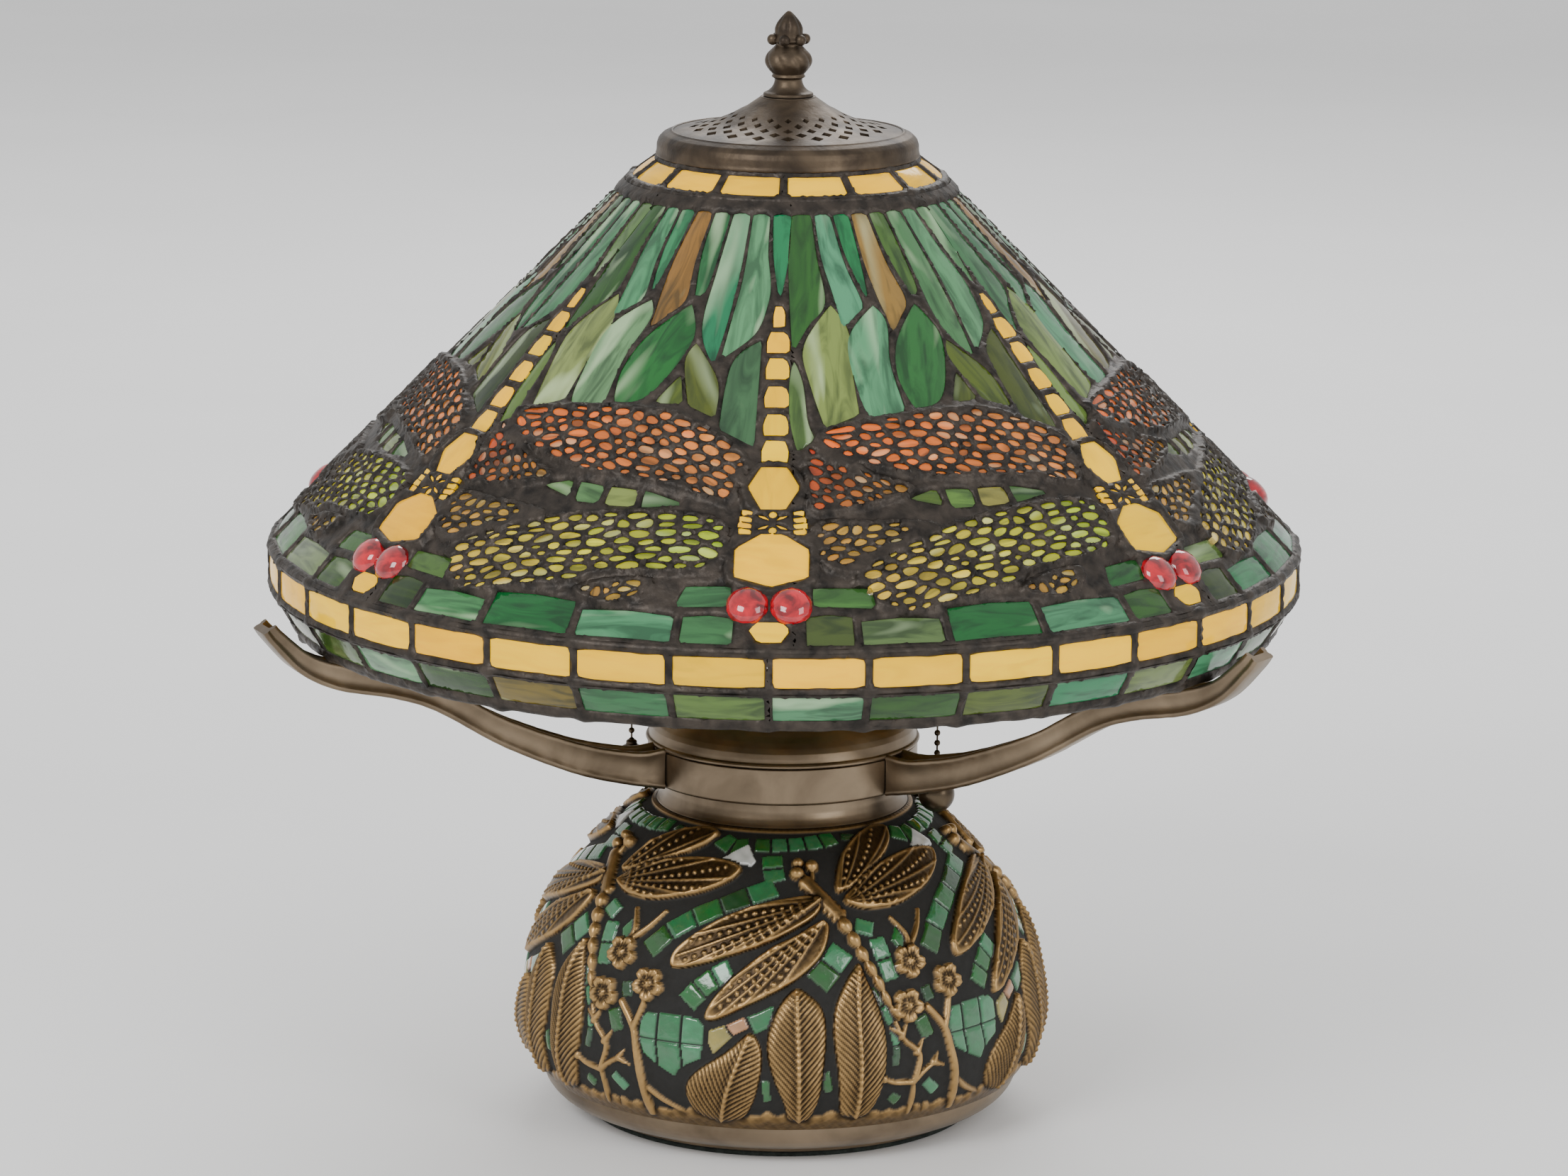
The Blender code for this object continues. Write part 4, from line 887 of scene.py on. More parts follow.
class Relief:
    """A raised skin over one repeat of the bowl, worked up like a model in wax."""

    def __init__(self, start, columns, rows):
        self.columns, self.rows = columns, rows
        angles = start + BOWL_TURN * np.arange(columns) / columns
        alongs = np.linspace(0.0, BOWL_RUN[-1], rows)
        self.angle, self.along = [g.ravel() for g in np.meshgrid(angles, alongs)]
        self.place, self.out = bowl_at(self.angle, self.along)
        self.height = np.full(len(self.angle), -0.5)
        self.tint = np.tile(GROUT, (len(self.angle), 1))
        self.kind = np.tile(np.array((0.0, 0.82, 0.0)), (len(self.angle), 1))
        self.bronze = np.zeros(len(self.angle), bool)

    def shifts(self, line, margin):
        """For each neighbouring repeat that the line reaches: the line there and the points near it."""
        for shift in (-BOWL_TURN, 0.0, BOWL_TURN):
            here = np.asarray(line, float) + (shift, 0.0)
            radius = np.interp(here[:, 1], BOWL_RUN, BOWL_LINE[:, 0]).min()
            wide = math.degrees(margin / radius)
            near = ((self.angle > here[:, 0].min() - wide) & (self.angle < here[:, 0].max() + wide)
                    & (self.along > here[:, 1].min() - margin) & (self.along < here[:, 1].max() + margin))
            near = np.where(near)[0]
            if len(near):
                yield here, near

    def distance(self, line, near, closed=False):
        """Distance to the line over the bowl's face, and how far along it, 0 to 1, and its length."""
        dense = resampled(line, 1.0, closed) if closed else resampled(line, 1.0, False)
        where = bowl_at(dense[:, 0], dense[:, 1])[0]
        if closed:
            where = np.vstack([where, where[:1]])
        steps = np.diff(where, axis=0)
        sizes = np.linalg.norm(steps, axis=1)
        runs = np.r_[0.0, np.cumsum(sizes)]
        best, mark = np.full(len(near), 1e9), np.zeros(len(near))
        for k, (step, size) in enumerate(zip(steps, sizes)):
            away = self.place[near] - where[k]
            share = np.clip(away @ step / max(size * size, 1e-9), 0.0, 1.0)
            gap = np.linalg.norm(away - share[:, None] * step, axis=1)
            closer = gap < best
            best[closer] = gap[closer]
            mark[closer] = runs[k] + share[closer] * size
        return best, mark / runs[-1], runs[-1]

    def raise_to(self, index, height):
        """Bronze at the given height, where that is higher than what is there."""
        higher = (height > self.height[index]) | ~self.bronze[index]
        chosen = index[higher]
        self.height[chosen] = height[higher]
        self.bronze[chosen] = True

    def stem(self, line, wide, high, fine=0.0, knots=0):
        """A round bronze stroke; wide is its half width from start to end."""
        line = curve(line, 4) if len(line) > 2 else np.asarray(line, float)
        for here, near in self.shifts(line, max(wide) + 1.0):
            gap, share, _ = self.distance(here, near)
            half = wide[0] + (wide[1] - wide[0]) * share
            if knots:
                half = half * (0.62 + 0.5 * np.abs(np.sin(math.pi * knots * share)))
            hit = gap < half
            dome = np.sqrt(np.clip(1.0 - (gap[hit] / half[hit]) ** 2, 0.0, 1.0))
            self.raise_to(near[hit], high * dome * (half[hit] / max(wide)) + fine)

    def ridge(self, line, wide, high):
        """A thin line added to what is already there."""
        line = curve(line, 3) if len(line) > 2 else np.asarray(line, float)
        for here, near in self.shifts(line, 2.5 * wide):
            gap = self.distance(here, near)[0]
            self.height[near] += np.where(self.bronze[near], high * np.exp(-(gap / wide) ** 2), 0.0)

    def ball(self, angle, along, radius, high):
        """A round bronze bead."""
        for here, near in self.shifts([(angle, along)], radius + 0.6):
            centre = bowl_at(here[:1, 0], here[:1, 1])[0][0]
            gap = np.linalg.norm(self.place[near] - centre, axis=1)
            hit = gap < radius
            dome = np.sqrt(np.clip(1.0 - (gap[hit] / radius) ** 2, 0.0, 1.0))
            chosen = near[hit]
            level = np.where(self.bronze[chosen], self.height[chosen], 0.0)
            self.raise_to(chosen, level.min() + high * dome if len(level) else dome)

    def blade(self, outline, high, rim=0.7):
        """A bronze plate with a soft shoulder and a raised rim."""
        outline = curve(outline, 4, True)
        for here, near in self.shifts(outline, 1.0):
            hit = near[inside(np.stack([self.angle[near], self.along[near]], -1), here)]
            if not len(hit):
                continue
            gap = self.distance(here, hit, True)[0]
            level = high * (1.0 - np.exp(-gap / 0.8)) + rim * np.exp(-((gap - 1.0) / 0.6) ** 2)
            self.raise_to(hit, level)

    def leaf(self, outline, rib, high, pitch=2.5):
        """A feathered leaf: a keel, and ribs that slant up from it to the edge."""
        outline = curve(outline, 4, True)
        rib = curve(rib, 4)
        for here, near in self.shifts(outline, 1.0):
            hit = near[inside(np.stack([self.angle[near], self.along[near]], -1), here)]
            if not len(hit):
                continue
            moved = rib + (here[0, 0] - outline[0, 0], 0.0)
            gap = self.distance(here, hit, True)[0]
            off, share, length = self.distance(moved, hit)
            wave = np.cos(2 * math.pi * (share * length + 1.1 * off) / pitch)
            level = high * (1.0 - np.exp(-gap / 1.6)) - 0.05 * off + 0.36 * wave * np.clip(gap / 1.5, 0, 1)
            level += 1.0 * np.exp(-(off / 0.7) ** 2) + 0.35 * np.exp(-((gap - 0.7) / 0.5) ** 2)
            self.raise_to(hit, level)

    def flower(self, angle, along, radius=6.8):
        """Five ruffled petals and a tuft of stamens."""
        for here, near in self.shifts([(angle, along)], radius + 1.0):
            centre, out = [v[0] for v in bowl_at(here[:1, 0], here[:1, 1])]
            side = np.cross((0.0, 0.0, 1.0), out)
            side /= np.linalg.norm(side)
            up = np.cross(out, side)
            away = self.place[near] - centre
            x, y = away @ side, away @ up
            turn, gap = np.arctan2(y, x), np.hypot(x, y)
            reach = radius * (0.66 + 0.34 * np.abs(np.cos(2.5 * turn + 0.6)) ** 0.6)
            hit = gap < reach
            share = gap[hit] / reach[hit]
            level = 0.9 + 1.9 * share ** 1.5 * np.sqrt(np.clip(1.02 - share ** 6, 0, 1))
            level += 0.28 * np.cos(17 * turn[hit]) * share
            level -= 0.9 * (1 - np.abs(np.cos(2.5 * turn[hit] + 0.6))) ** 4 * share
            tuft = 1.0 + 0.45 * np.cos(7 * turn[hit]) * np.sin(3.2 * gap[hit])
            level += 1.4 * np.exp(-(gap[hit] / 1.9) ** 2) * tuft
            self.raise_to(near[hit], level + 0.6)

    def tile(self, outline, colour, glossy=0.1):
        """One flat tile with edges rounded off, wherever no bronze stands."""
        outline = np.asarray(outline, float)
        for here, near in self.shifts(outline, 1.0):
            hit = near[inside(np.stack([self.angle[near], self.along[near]], -1), here) & ~self.bronze[near]]
            if not len(hit):
                continue
            gap = self.distance(here, hit, True)[0]
            self.height[hit] = 0.1 + 0.35 * (1.0 - np.exp(-gap / 0.35))
            x, y = self.angle[hit] * 1.6, self.along[hit]
            streak = 0.5 + 0.5 * ripple(x * 0.35 + y * 0.12, y * 0.5, outline[0, 0])
            pale = np.array(colour) * 0.55 + np.array((0.3, 0.42, 0.28)) * 0.45
            self.tint[hit] = np.array(colour) * (1.1 - 0.55 * streak[:, None]) + pale * 0.25 * streak[:, None] ** 2
            self.kind[hit] = (0.0, glossy, 0.6)

    def strip(self, line, count, half):
        """A row of tiles along a line."""
        line = curve(line, 5)
        where = bowl_at(line[:, 0], line[:, 1])[0]
        runs = np.r_[0.0, np.cumsum(np.linalg.norm(np.diff(where, axis=0), axis=1))]
        marks = np.linspace(0.0, runs[-1], count + 1)
        for k in range(count):
            ends = []
            for mark in (marks[k] + 0.45, marks[k + 1] - 0.45):
                here = np.array([np.interp(mark, runs, line[:, j]) for j in (0, 1)])
                before = np.array([np.interp(mark - 1.0, runs, line[:, j]) for j in (0, 1)])
                after = np.array([np.interp(mark + 1.0, runs, line[:, j]) for j in (0, 1)])
                radius = np.interp(here[1], BOWL_RUN, BOWL_LINE[:, 0]) * math.pi / 180
                way = (after - before) * (radius, 1.0)
                way /= np.linalg.norm(way)
                across = np.array((-way[1] / radius, way[0])) * half * random.uniform(0.92, 1.08)
                ends.append((here + across, here - across))
            colour = TILE_GREENS[random.integers(0, 5)]
            self.tile([ends[0][0], ends[1][0], ends[1][1], ends[0][1]], colour)

    def grid(self, values):
        return values.reshape(self.rows, self.columns)

    def softened(self, values, reach):
        """The values averaged over their surroundings, round the bowl and up it."""
        grid = self.grid(values)
        total = sum(np.roll(grid, k, 1) for k in range(-reach, reach + 1)) / (2 * reach + 1)
        padded = np.pad(total, ((reach, reach), (0, 0)), mode="edge")
        return (sum(padded[k:k + self.rows] for k in range(2 * reach + 1)) / (2 * reach + 1)).ravel()

    def finish(self):
        """Works the bronze: lumps in the wax, dark hollows and bright raised edges, partly patina and wear, partly
        painted shade in the hollows and painted highlights on the ridges.
        """
        cast = 0.07 * ripple(self.angle * 2.2, self.along * 1.3)
        self.height += np.where(self.bronze, cast, 0.5 * cast)
        soft = self.softened(self.softened(self.height, 2), 3)
        # Painted shade and highlight: bronze lower than its blurred surroundings is darkened and bronze higher than
        # them is brightened. This is partly the patina and wear of cast bronze, partly painted shade in the hollows
        # and painted highlights on the ridges.
        wear_and_painted_light = np.clip((self.height - soft) * 1.25 + 0.3, 0.0, 1.0)
        wear_and_painted_light = np.clip(wear_and_painted_light * wear_and_painted_light * (3 - 2 * wear_and_painted_light) * 0.95 + 0.05 * ripple(self.angle * 3, self.along * 3), 0, 1)
        colour = BRONZE_LOW * (1 - wear_and_painted_light[:, None]) + BRONZE_HIGH * wear_and_painted_light[:, None]
        self.tint = np.where(self.bronze[:, None], colour, self.tint)
        self.kind = np.where(self.bronze[:, None], (0.88, 0.36, 0.0), self.kind)
        edge = self.softened(self.bronze.astype(float), 1)
        rim = ~self.bronze & (edge > 0.05)
        self.tint[rim] = GROUT * 1.6


def wing_veins(relief, root, outline, fans, dots):
    """Veins that fan out from the root, with rows of beads between them."""
    outline = curve(outline, 4, True)
    root = np.asarray(root, float)
    for share in fans:
        target = outline[int(share * len(outline)) % len(outline)]
        middle = (root + target) / 2 + np.array((0.0, 0.8))
        relief.ridge([root, middle, root + (target - root) * 0.95], 0.38, 0.55)
    for share in dots:
        target = outline[int(share * len(outline)) % len(outline)]
        reach = np.linalg.norm((target - root) * (1.5, 1.0))
        for mark in np.arange(9.0, reach * 0.93, 3.7):
            here = root + (target - root) * mark / reach
            relief.ball(here[0], here[1], 0.85, 0.75)


def bowl_leaves(relief):
    leaves = [
        ([(-6.6, 42.0), (-11.5, 34.6), (-18.6, 25.0), (-20.8, 16.6), (-18.6, 7.0), (-13, 3.5), (-8.0, 6.0),
          (-5.4, 15.0), (-3.9, 27.1), (-4.0, 36.3)], [(-6.8, 41.0), (-9.0, 30.0), (-11.5, 17.0), (-13.0, 4.5)], 2.4),
        ([(3.3, 59.5), (-0.3, 53.0), (-2.5, 43.8), (-2.9, 34.5), (-1.4, 24.0), (0.8, 13.6), (2.0, 6.0), (6.0, 5.6),
          (8.4, 14.0), (9.5, 28.1), (10.2, 42.8), (9.2, 52.0), (6.0, 57.6)],
         [(3.6, 58.5), (3.8, 42.0), (4.0, 24.0), (4.2, 6.5)], 2.9),
        ([(18.6, 68.2), (14.7, 60.8), (12.0, 51.0), (11.5, 40.1), (12.3, 27.2), (12.9, 13.9), (14.0, 7.0),
          (19.5, 6.5), (22.2, 16.0), (23.5, 28.4), (23.6, 40.4), (22.2, 51.7), (20.3, 61.1)],
         [(18.4, 67.0), (17.2, 50.0), (17.3, 30.0), (16.8, 7.5)], 2.9)]
    for outline, rib, high in leaves:
        relief.leaf(outline, rib, high)


def bowl_twigs(relief):
    """A budding twig, and a stem with three flowers."""
    fork = (29.9, 19.5)
    for line in ([(30.0, 5.0), (30.3, 13.0), (29.9, 20.0)], [fork, (25.5, 20.2), (22.3, 22.6)],
                 [fork, (32.5, 23.5), (35.2, 26.0)], [fork, (31.5, 30.0), (28.0, 36.5), (26.0, 44.0)]):
        relief.stem(line, (1.3, 0.9), 1.5)
    buds = ((22.8, 22.4, 19.8, 21.0), (22.8, 22.0, 21.3, 25.5), (35.0, 26.0, 37.8, 24.0), (35.0, 26.0, 36.2, 29.5),
            (30.8, 31.0, 32.6, 36.0), (27.4, 39.0, 24.6, 42.0), (27.2, 38.0, 29.2, 44.5))
    for angle, along, to_angle, to_along in buds:
        middle = ((angle + to_angle) / 2, (along + to_along) / 2)
        relief.stem([(angle, along), middle, (to_angle, to_along)], (1.5, 0.35), 1.7)
    for line, wide, high in (
            ([(34.4, 48.0), (38.2, 39.6), (39.6, 30.7), (41.0, 19.0), (42.0, 4.0)], (1.5, 2.1), 2.0),
            ([(40.6, 51.0), (39.6, 45.0), (38.4, 39.0)], (1.3, 1.5), 1.8),
            ([(41.5, 17.0), (46.0, 11.0), (52.0, 5.5)], (1.4, 0.8), 1.2),
            ([(30.2, 85.0), (32.8, 77.0), (32.0, 71.0)], (0.9, 1.5), 1.7),
            ([(39.6, 86.5), (36.6, 79.0), (33.2, 73.0)], (0.8, 1.4), 1.7)):
        relief.stem(line, wide, high)
    for angle, along in ((31.6, 66.6), (40.8, 56.8), (29.2, 49.8)):
        relief.flower(angle, along)


def bowl_dragonfly(relief):
    """Four veined wings, a beaded tail, a ribbed thorax and a head of three balls."""
    short_veins = ((0.06, 0.2, 0.34, 0.5, 0.66, 0.8), (0.13, 0.27, 0.42, 0.58, 0.73))
    long_veins = ((0.04, 0.14, 0.26, 0.78, 0.88, 0.96), (0.0, 0.09, 0.2, 0.83, 0.92))
    wings = [
        ((16.5, 95.5), [(16.1, 99.0), (17.8, 108.0), (22.0, 116.5), (30.0, 123.5), (40.0, 127.3), (46.5, 125.0),
                        (43.5, 118.0), (36.5, 111.5), (27.5, 105.0), (19.5, 98.6)], short_veins),
        ((17.4, 92.5), [(17.8, 94.5), (24.4, 103.0), (35.0, 109.8), (48.0, 112.6), (58.5, 110.2), (57.5, 104.0),
                        (49.5, 97.0), (40.6, 92.4), (32.0, 89.6), (23.0, 89.9)], short_veins),
        ((11.0, 94.5), [(-26.6, 65.0), (-26.4, 71.6), (-21.9, 79.6), (-15.2, 87.6), (-5.9, 93.8), (3.5, 96.9),
                        (9.0, 97.2), (11.6, 93.0), (9.0, 87.6), (4.1, 82.9), (-2.1, 77.7), (-8.7, 73.3),
                        (-16.0, 68.6), (-22.6, 65.0)], long_veins),
        ((12.6, 88.5), [(-16.8, 46.4), (-16.1, 52.2), (-12.6, 60.6), (-7.6, 69.0), (-2.1, 75.9), (4.1, 80.8),
                        (10.4, 86.2), (12.6, 84.6), (12.0, 78.6), (10.3, 72.6), (7.0, 66.8), (2.3, 61.0),
                        (-3.5, 55.5), (-9.4, 50.3), (-14.0, 46.2)], long_veins)]
    for _, outline, _ in wings:
        relief.blade(outline, 1.9)
    for root, outline, (lines, dots) in wings:
        wing_veins(relief, root, outline, lines, dots)
    tail = [(16.0, 86.5), (18.8, 76.1), (21.0, 67.4), (23.0, 59.7), (24.4, 53.0), (26.8, 45.0)]
    relief.stem(tail, (2.6, 1.3), 2.7, 0.4, 7)
    relief.stem([(7.6, 103.0), (11.9, 95.7), (16.0, 87.8)], (3.1, 2.6), 1.9, 0.5)
    for mark in np.linspace(0.0, 1.0, 8):
        for side in (-1.7, 1.7):
            angle, along = 7.8 + 8.0 * mark + side * 0.75, 102.4 - 14.2 * mark + side * 0.85
            relief.ball(angle, along, 1.5, 1.2)
    relief.stem([(6.3, 107.5), (8.2, 102.5)], (1.3, 1.3), 1.8)
    relief.stem([(9.9, 108.5), (9.4, 102.5)], (1.2, 1.2), 1.8)
    for angle, along, radius in ((5.4, 111.4, 2.5), (9.9, 110.0, 2.9), (4.9, 107.0, 3.0)):
        relief.ball(angle, along, radius, 3.4)


def bowl_tiles(relief):
    """Rows of tiles between the bronze, and a patch of larger ones laid one by one."""
    rows = [
        ([(-33.8, 69.5), (-28.5, 80.0), (-21.4, 88.0), (-12.6, 95.0), (-1.5, 101.6)], 5, 4.1),
        ([(-1.6, 103.2), (-2.6, 108.0), (-3.4, 116.0)], 2, 4.2),
        ([(-10.5, 120.6), (0.0, 121.2), (11.0, 122.2), (22.0, 124.2)], 5, 3.6),
        ([(24.0, 124.5), (33.0, 122.0)], 1, 2.0),
        ([(47.5, 123.0), (53.5, 119.2), (60.0, 120.5)], 2, 4.0),
        ([(-11.4, 66.5), (-17.0, 60.5), (-21.5, 51.4)], 3, 4.2),
        ([(15.6, 74.5), (11.8, 67.5), (8.2, 60.8)], 2, 5.0),
        ([(19.5, 84.0), (24.6, 81.0)], 1, 3.2),
        ([(24.4, 78.0), (25.2, 70.5), (26.4, 60.0)], 2, 3.4),
        ([(20.9, 58.0), (22.6, 52.0), (24.6, 46.5), (26.0, 35.5), (25.6, 26.5)], 4, 1.6),
        ([(34.6, 56.6), (35.6, 50.0)], 1, 2.4),
        ([(32.2, 45.0), (34.2, 36.0)], 1, 3.0),
        ([(24.6, 14.5), (27.0, 11.0)], 1, 2.0),
        ([(9.8, 27.0), (10.6, 18.0)], 1, 1.6),
        ([(-3.2, 24.0), (-2.6, 14.0)], 1, 1.5),
        ([(33.0, 19.0), (36.5, 13.0)], 1, 2.0)]
    for line, count, half in rows:
        relief.strip(line, count, half)
    deep, fresh, pale = TILE_GREENS[1:4]
    tiles = [
        ([(-32.2, 36.3), (-32.2, 43.6), (-30.6, 46.0), (-28.2, 46.2), (-28.2, 36.3)], pale, 0.1),
        ([(-27.6, 36.3), (-27.6, 46.4), (-22.4, 46.6), (-22.4, 36.3)], fresh, 0.1),
        ([(-21.8, 36.3), (-21.8, 46.6), (-18.4, 46.2), (-16.8, 43.5), (-16.8, 36.3)], pale, 0.1),
        ([(-32.2, 35.4), (-28.2, 35.4), (-27.4, 26.5), (-30.6, 30.0)], pale, 0.1),
        ([(-27.6, 35.4), (-22.4, 35.4), (-21.6, 27.0), (-23.0, 22.6), (-26.8, 26.0)], fresh, 0.1),
        ([(-21.8, 35.4), (-17.0, 35.4), (-17.4, 30.5), (-21.0, 27.2)], pale, 0.1),
        ([(-15.8, 37.6), (-15.6, 42.0), (-12.4, 44.4), (-10.6, 39.8), (-14.4, 33.0)], (0.4, 0.33, 0.08), 0.14),
        ([(-11.8, 44.6), (-8.0, 48.0), (-6.9, 43.9), (-10.2, 40.8)], (0.62, 0.3, 0.14), 0.2),
        ([(-7.2, 48.2), (-1.6, 52.8), (-1.9, 45.0), (-5.4, 41.8)], fresh, 0.1),
        ([(-22.6, 111.6), (-12.4, 120.6), (-8.8, 112.4), (-10.0, 110.6)], (0.86, 0.87, 0.85), 0.08),
        ([(-43.5, 76.0), (-40.5, 83.5), (-38.8, 78.0), (-41.5, 70.0)], deep, 0.1)]
    for outline, colour, gloss in tiles:
        relief.tile(outline, colour, gloss)


def room_for_balls(points):
    """Dimples in the relief where a pull's ball hangs down beside it."""
    for azimuth in LIGHT_AZ.values():
        a = math.radians(azimuth)
        path = np.tile((CHAIN_LINE * math.cos(a), CHAIN_LINE * math.sin(a), 0.0), (len(points), 1))
        path[:, 2] = np.clip(points[:, 2], BALL_Z - PULL_TRAVEL, BALL_Z)
        away = points - path
        far = np.linalg.norm(away, axis=1)
        close = far < BALL_R + 0.6
        points[close] = path[close] + away[close] * ((BALL_R + 0.6) / far[close])[:, None]
    return points


def spun(points, degrees):
    """The points turned about the lamp's axis."""
    c, s = math.cos(math.radians(degrees)), math.sin(math.radians(degrees))
    return points @ np.array([[c, s, 0], [-s, c, 0], [0, 0, 1]])


def make_bowl():
    """One worked repeat of the relief, copied round the bowl, and a plain lining inside."""
    relief = Relief(-38.0, 224, 226)
    bowl_leaves(relief)
    bowl_twigs(relief)
    bowl_dragonfly(relief)
    low_edge = 7.5 + 2.2 * ripple(relief.angle * 0.6, relief.angle * 0.25)
    bottom = np.where(relief.along < low_edge)[0]
    sunk = np.clip((low_edge[bottom] - relief.along[bottom]) / 3, 0, 1)
    relief.raise_to(bottom, np.full(len(bottom), 0.55) + 0.6 * sunk)
    top = np.where(relief.along > BOWL_RUN[-1] - 2.2)[0]
    relief.raise_to(top, np.full(len(top), 0.35))
    bowl_tiles(relief)
    relief.finish()
    columns, rows = relief.columns, relief.rows
    shell = (relief.place + relief.out * relief.height[:, None]).reshape(rows, columns, 3)
    grid = np.concatenate([shell, spun(shell[:, :1], BOWL_TURN)], 1).reshape(-1, 3)
    layers = {}
    for key, values in (("tint", relief.tint), ("kind", relief.kind)):
        values = values.reshape(rows, columns, 3)
        layers[key] = np.concatenate([values, values[:, :1]], 1).reshape(-1, 3)
    layers["tint"] = np.c_[layers["tint"], np.ones(len(grid))]
    wide = columns + 1
    faces = [(r * wide + q, r * wide + q + 1, (r + 1) * wide + q + 1, (r + 1) * wide + q)
             for r in range(rows - 1) for q in range(columns)]
    for copy in range(REPEATS):
        points = room_for_balls(spun(grid, BOWL_TURN * copy))
        make("bowl_%d" % copy, points, faces, BOWL_SKIN, "base", ["mosaic_bowl"], sharp=180,
             layers=layers)
    inner = BOWL_LINE[::6] - (3.6, 0.0)
    outline = [(96.4, 17.4), (92.0, 17.4)] + [tuple(p) for p in inner[1:-1]] + [(47.0, 124.9), (50.9, 124.9)]
    lining = outline + [tuple(p) for p in (inner[1:-1] + (1.2, 0.0))[::-1]]
    points, faces = turned(lining)
    make("bowl_lining", points, faces, PLATE_STEEL, "base", ["mosaic_bowl"])


make_bowl()


# ---------------------------------------------------------------- turned and cast metal

ARM_AZ = {"left": 205.0, "right": 325.0, "back": 85.0}


def directions(azimuth):
    """Outward and sideways unit directions at an azimuth."""
    a = math.radians(azimuth)
    return np.array((math.cos(a), math.sin(a), 0.0)), np.array((-math.sin(a), math.cos(a), 0.0))


def ring_piece(name, outline, mat, body, nodes, steps=SIDES_HIGH, radius=0.5):
    points, faces = turned(rounded(outline, radius), steps)
    return make(name, points, faces, mat, body, nodes, sharp=50)


def aimed(points, azimuth, start=0.0, height=LIGHT_Z):
    """Points turned from the vertical onto an outward axis at an azimuth."""
    out, side = directions(azimuth)
    up = np.array((0.0, 0.0, 1.0))
    return points[:, :1] * side + points[:, 1:2] * up + (points[:, 2:] + start) * out + height * up


def joined(parts):
    """Several (points, faces) as one."""
    points, faces, offset = [], [], 0
    for some, those in parts:
        points.append(np.asarray(some, float))
        faces.extend(tuple(i + offset for i in face) for face in those)
        offset += len(some)
    return np.vstack(points), faces


def globe(centre, radius, across=20, up=12):
    """A round ball."""
    points, faces = [], []
    for k in range(1, up):
        a = math.pi * k / up
        for s in range(across):
            b = 2 * math.pi * s / across
            points.append((math.sin(a) * math.cos(b), math.sin(a) * math.sin(b), math.cos(a)))
    points += [(0, 0, 1), (0, 0, -1)]
    top, low = len(points) - 2, len(points) - 1
    for s in range(across):
        n = (s + 1) % across
        faces.append((top, s, n))
        faces.append((low, (up - 2) * across + n, (up - 2) * across + s))
        for k in range(up - 2):
            faces.append((k * across + s, (k + 1) * across + s, (k + 1) * across + n, k * across + n))
    return np.array(points) * radius + np.asarray(centre, float), faces


def make_base_metal():
    cove = [(80.6 + 15.4 * math.sin(a), 4.6 + 12.5 * (1 - math.cos(a))) for a in np.linspace(0.0, math.pi / 2, 9)]
    foot = [(76.0, 2.1), (80.0, 2.1), *cove, (92.0, 17.1), (76.0, 12.5)]
    felt = [(0.2, 0.0), (79.0, 0.0), (79.2, 0.9), (79.0, 1.8), (0.2, 1.8)]
    neck = [(44.0, 125.2), (50.6, 125.2), (49.6, 126.3), (48.5, 128.2), (47.7, 130.6), (47.5, 134.9), (44.0, 134.9)]
    band = [(51.4, 135.2), (53.2, 135.2), (54.0, 136.2), (54.0, 149.8), (51.4, 149.8)]
    dome = [(53.3, 150.1), (54.6, 150.4), (54.9, 151.1), (54.5, 151.9), (53.6, 152.2)]
    dome += [(14.0 + 39.4 * math.sin(a), 152.4 + 18.2 * math.cos(a)) for a in np.linspace(1.5, 0.02, 14)]
    dome += [(6.0, 170.6), (6.0, 169.2), (14.0, 169.2)]
    dome += [(14.0 + 38.0 * math.sin(a), 152.4 + 16.7 * math.cos(a)) for a in np.linspace(0.1, 1.5, 10)]
    dome += [(52.0, 150.1)]
    ring_piece("foot", foot, BRONZE, "base", ["foot_ring"], radius=0.7)
    ring_piece("felt", felt, FELT, "base", ["felt_pad"], radius=0.4)
    ring_piece("neck", neck, BRONZE, "base", ["neck_collar"], radius=0.8)
    ring_piece("ring_band", band, BRONZE, "base", ["arm_ring"], radius=0.5)
    ring_piece("dome", dome, BRONZE, "base", ["ring_dome"], radius=0.25)


def arm_section(depth):
    """Half of an arm's cross-section, mirrored: side flutes, rounded lips, a trough."""
    half = [(5.6, 0.0), (6.3, 0.3), (6.6, 1.0), (6.6, 1.9), (6.15, 2.5), (6.15, depth - 2.6), (6.6, depth - 2.0),
            (6.6, depth - 0.7), (6.2, depth - 0.1), (5.5, depth), (4.8, depth - 0.1), (4.4, depth - 0.8),
            (4.1, depth - 2.2), (3.5, depth - 2.6)]
    return half + [(-y, h) for y, h in half[::-1]]


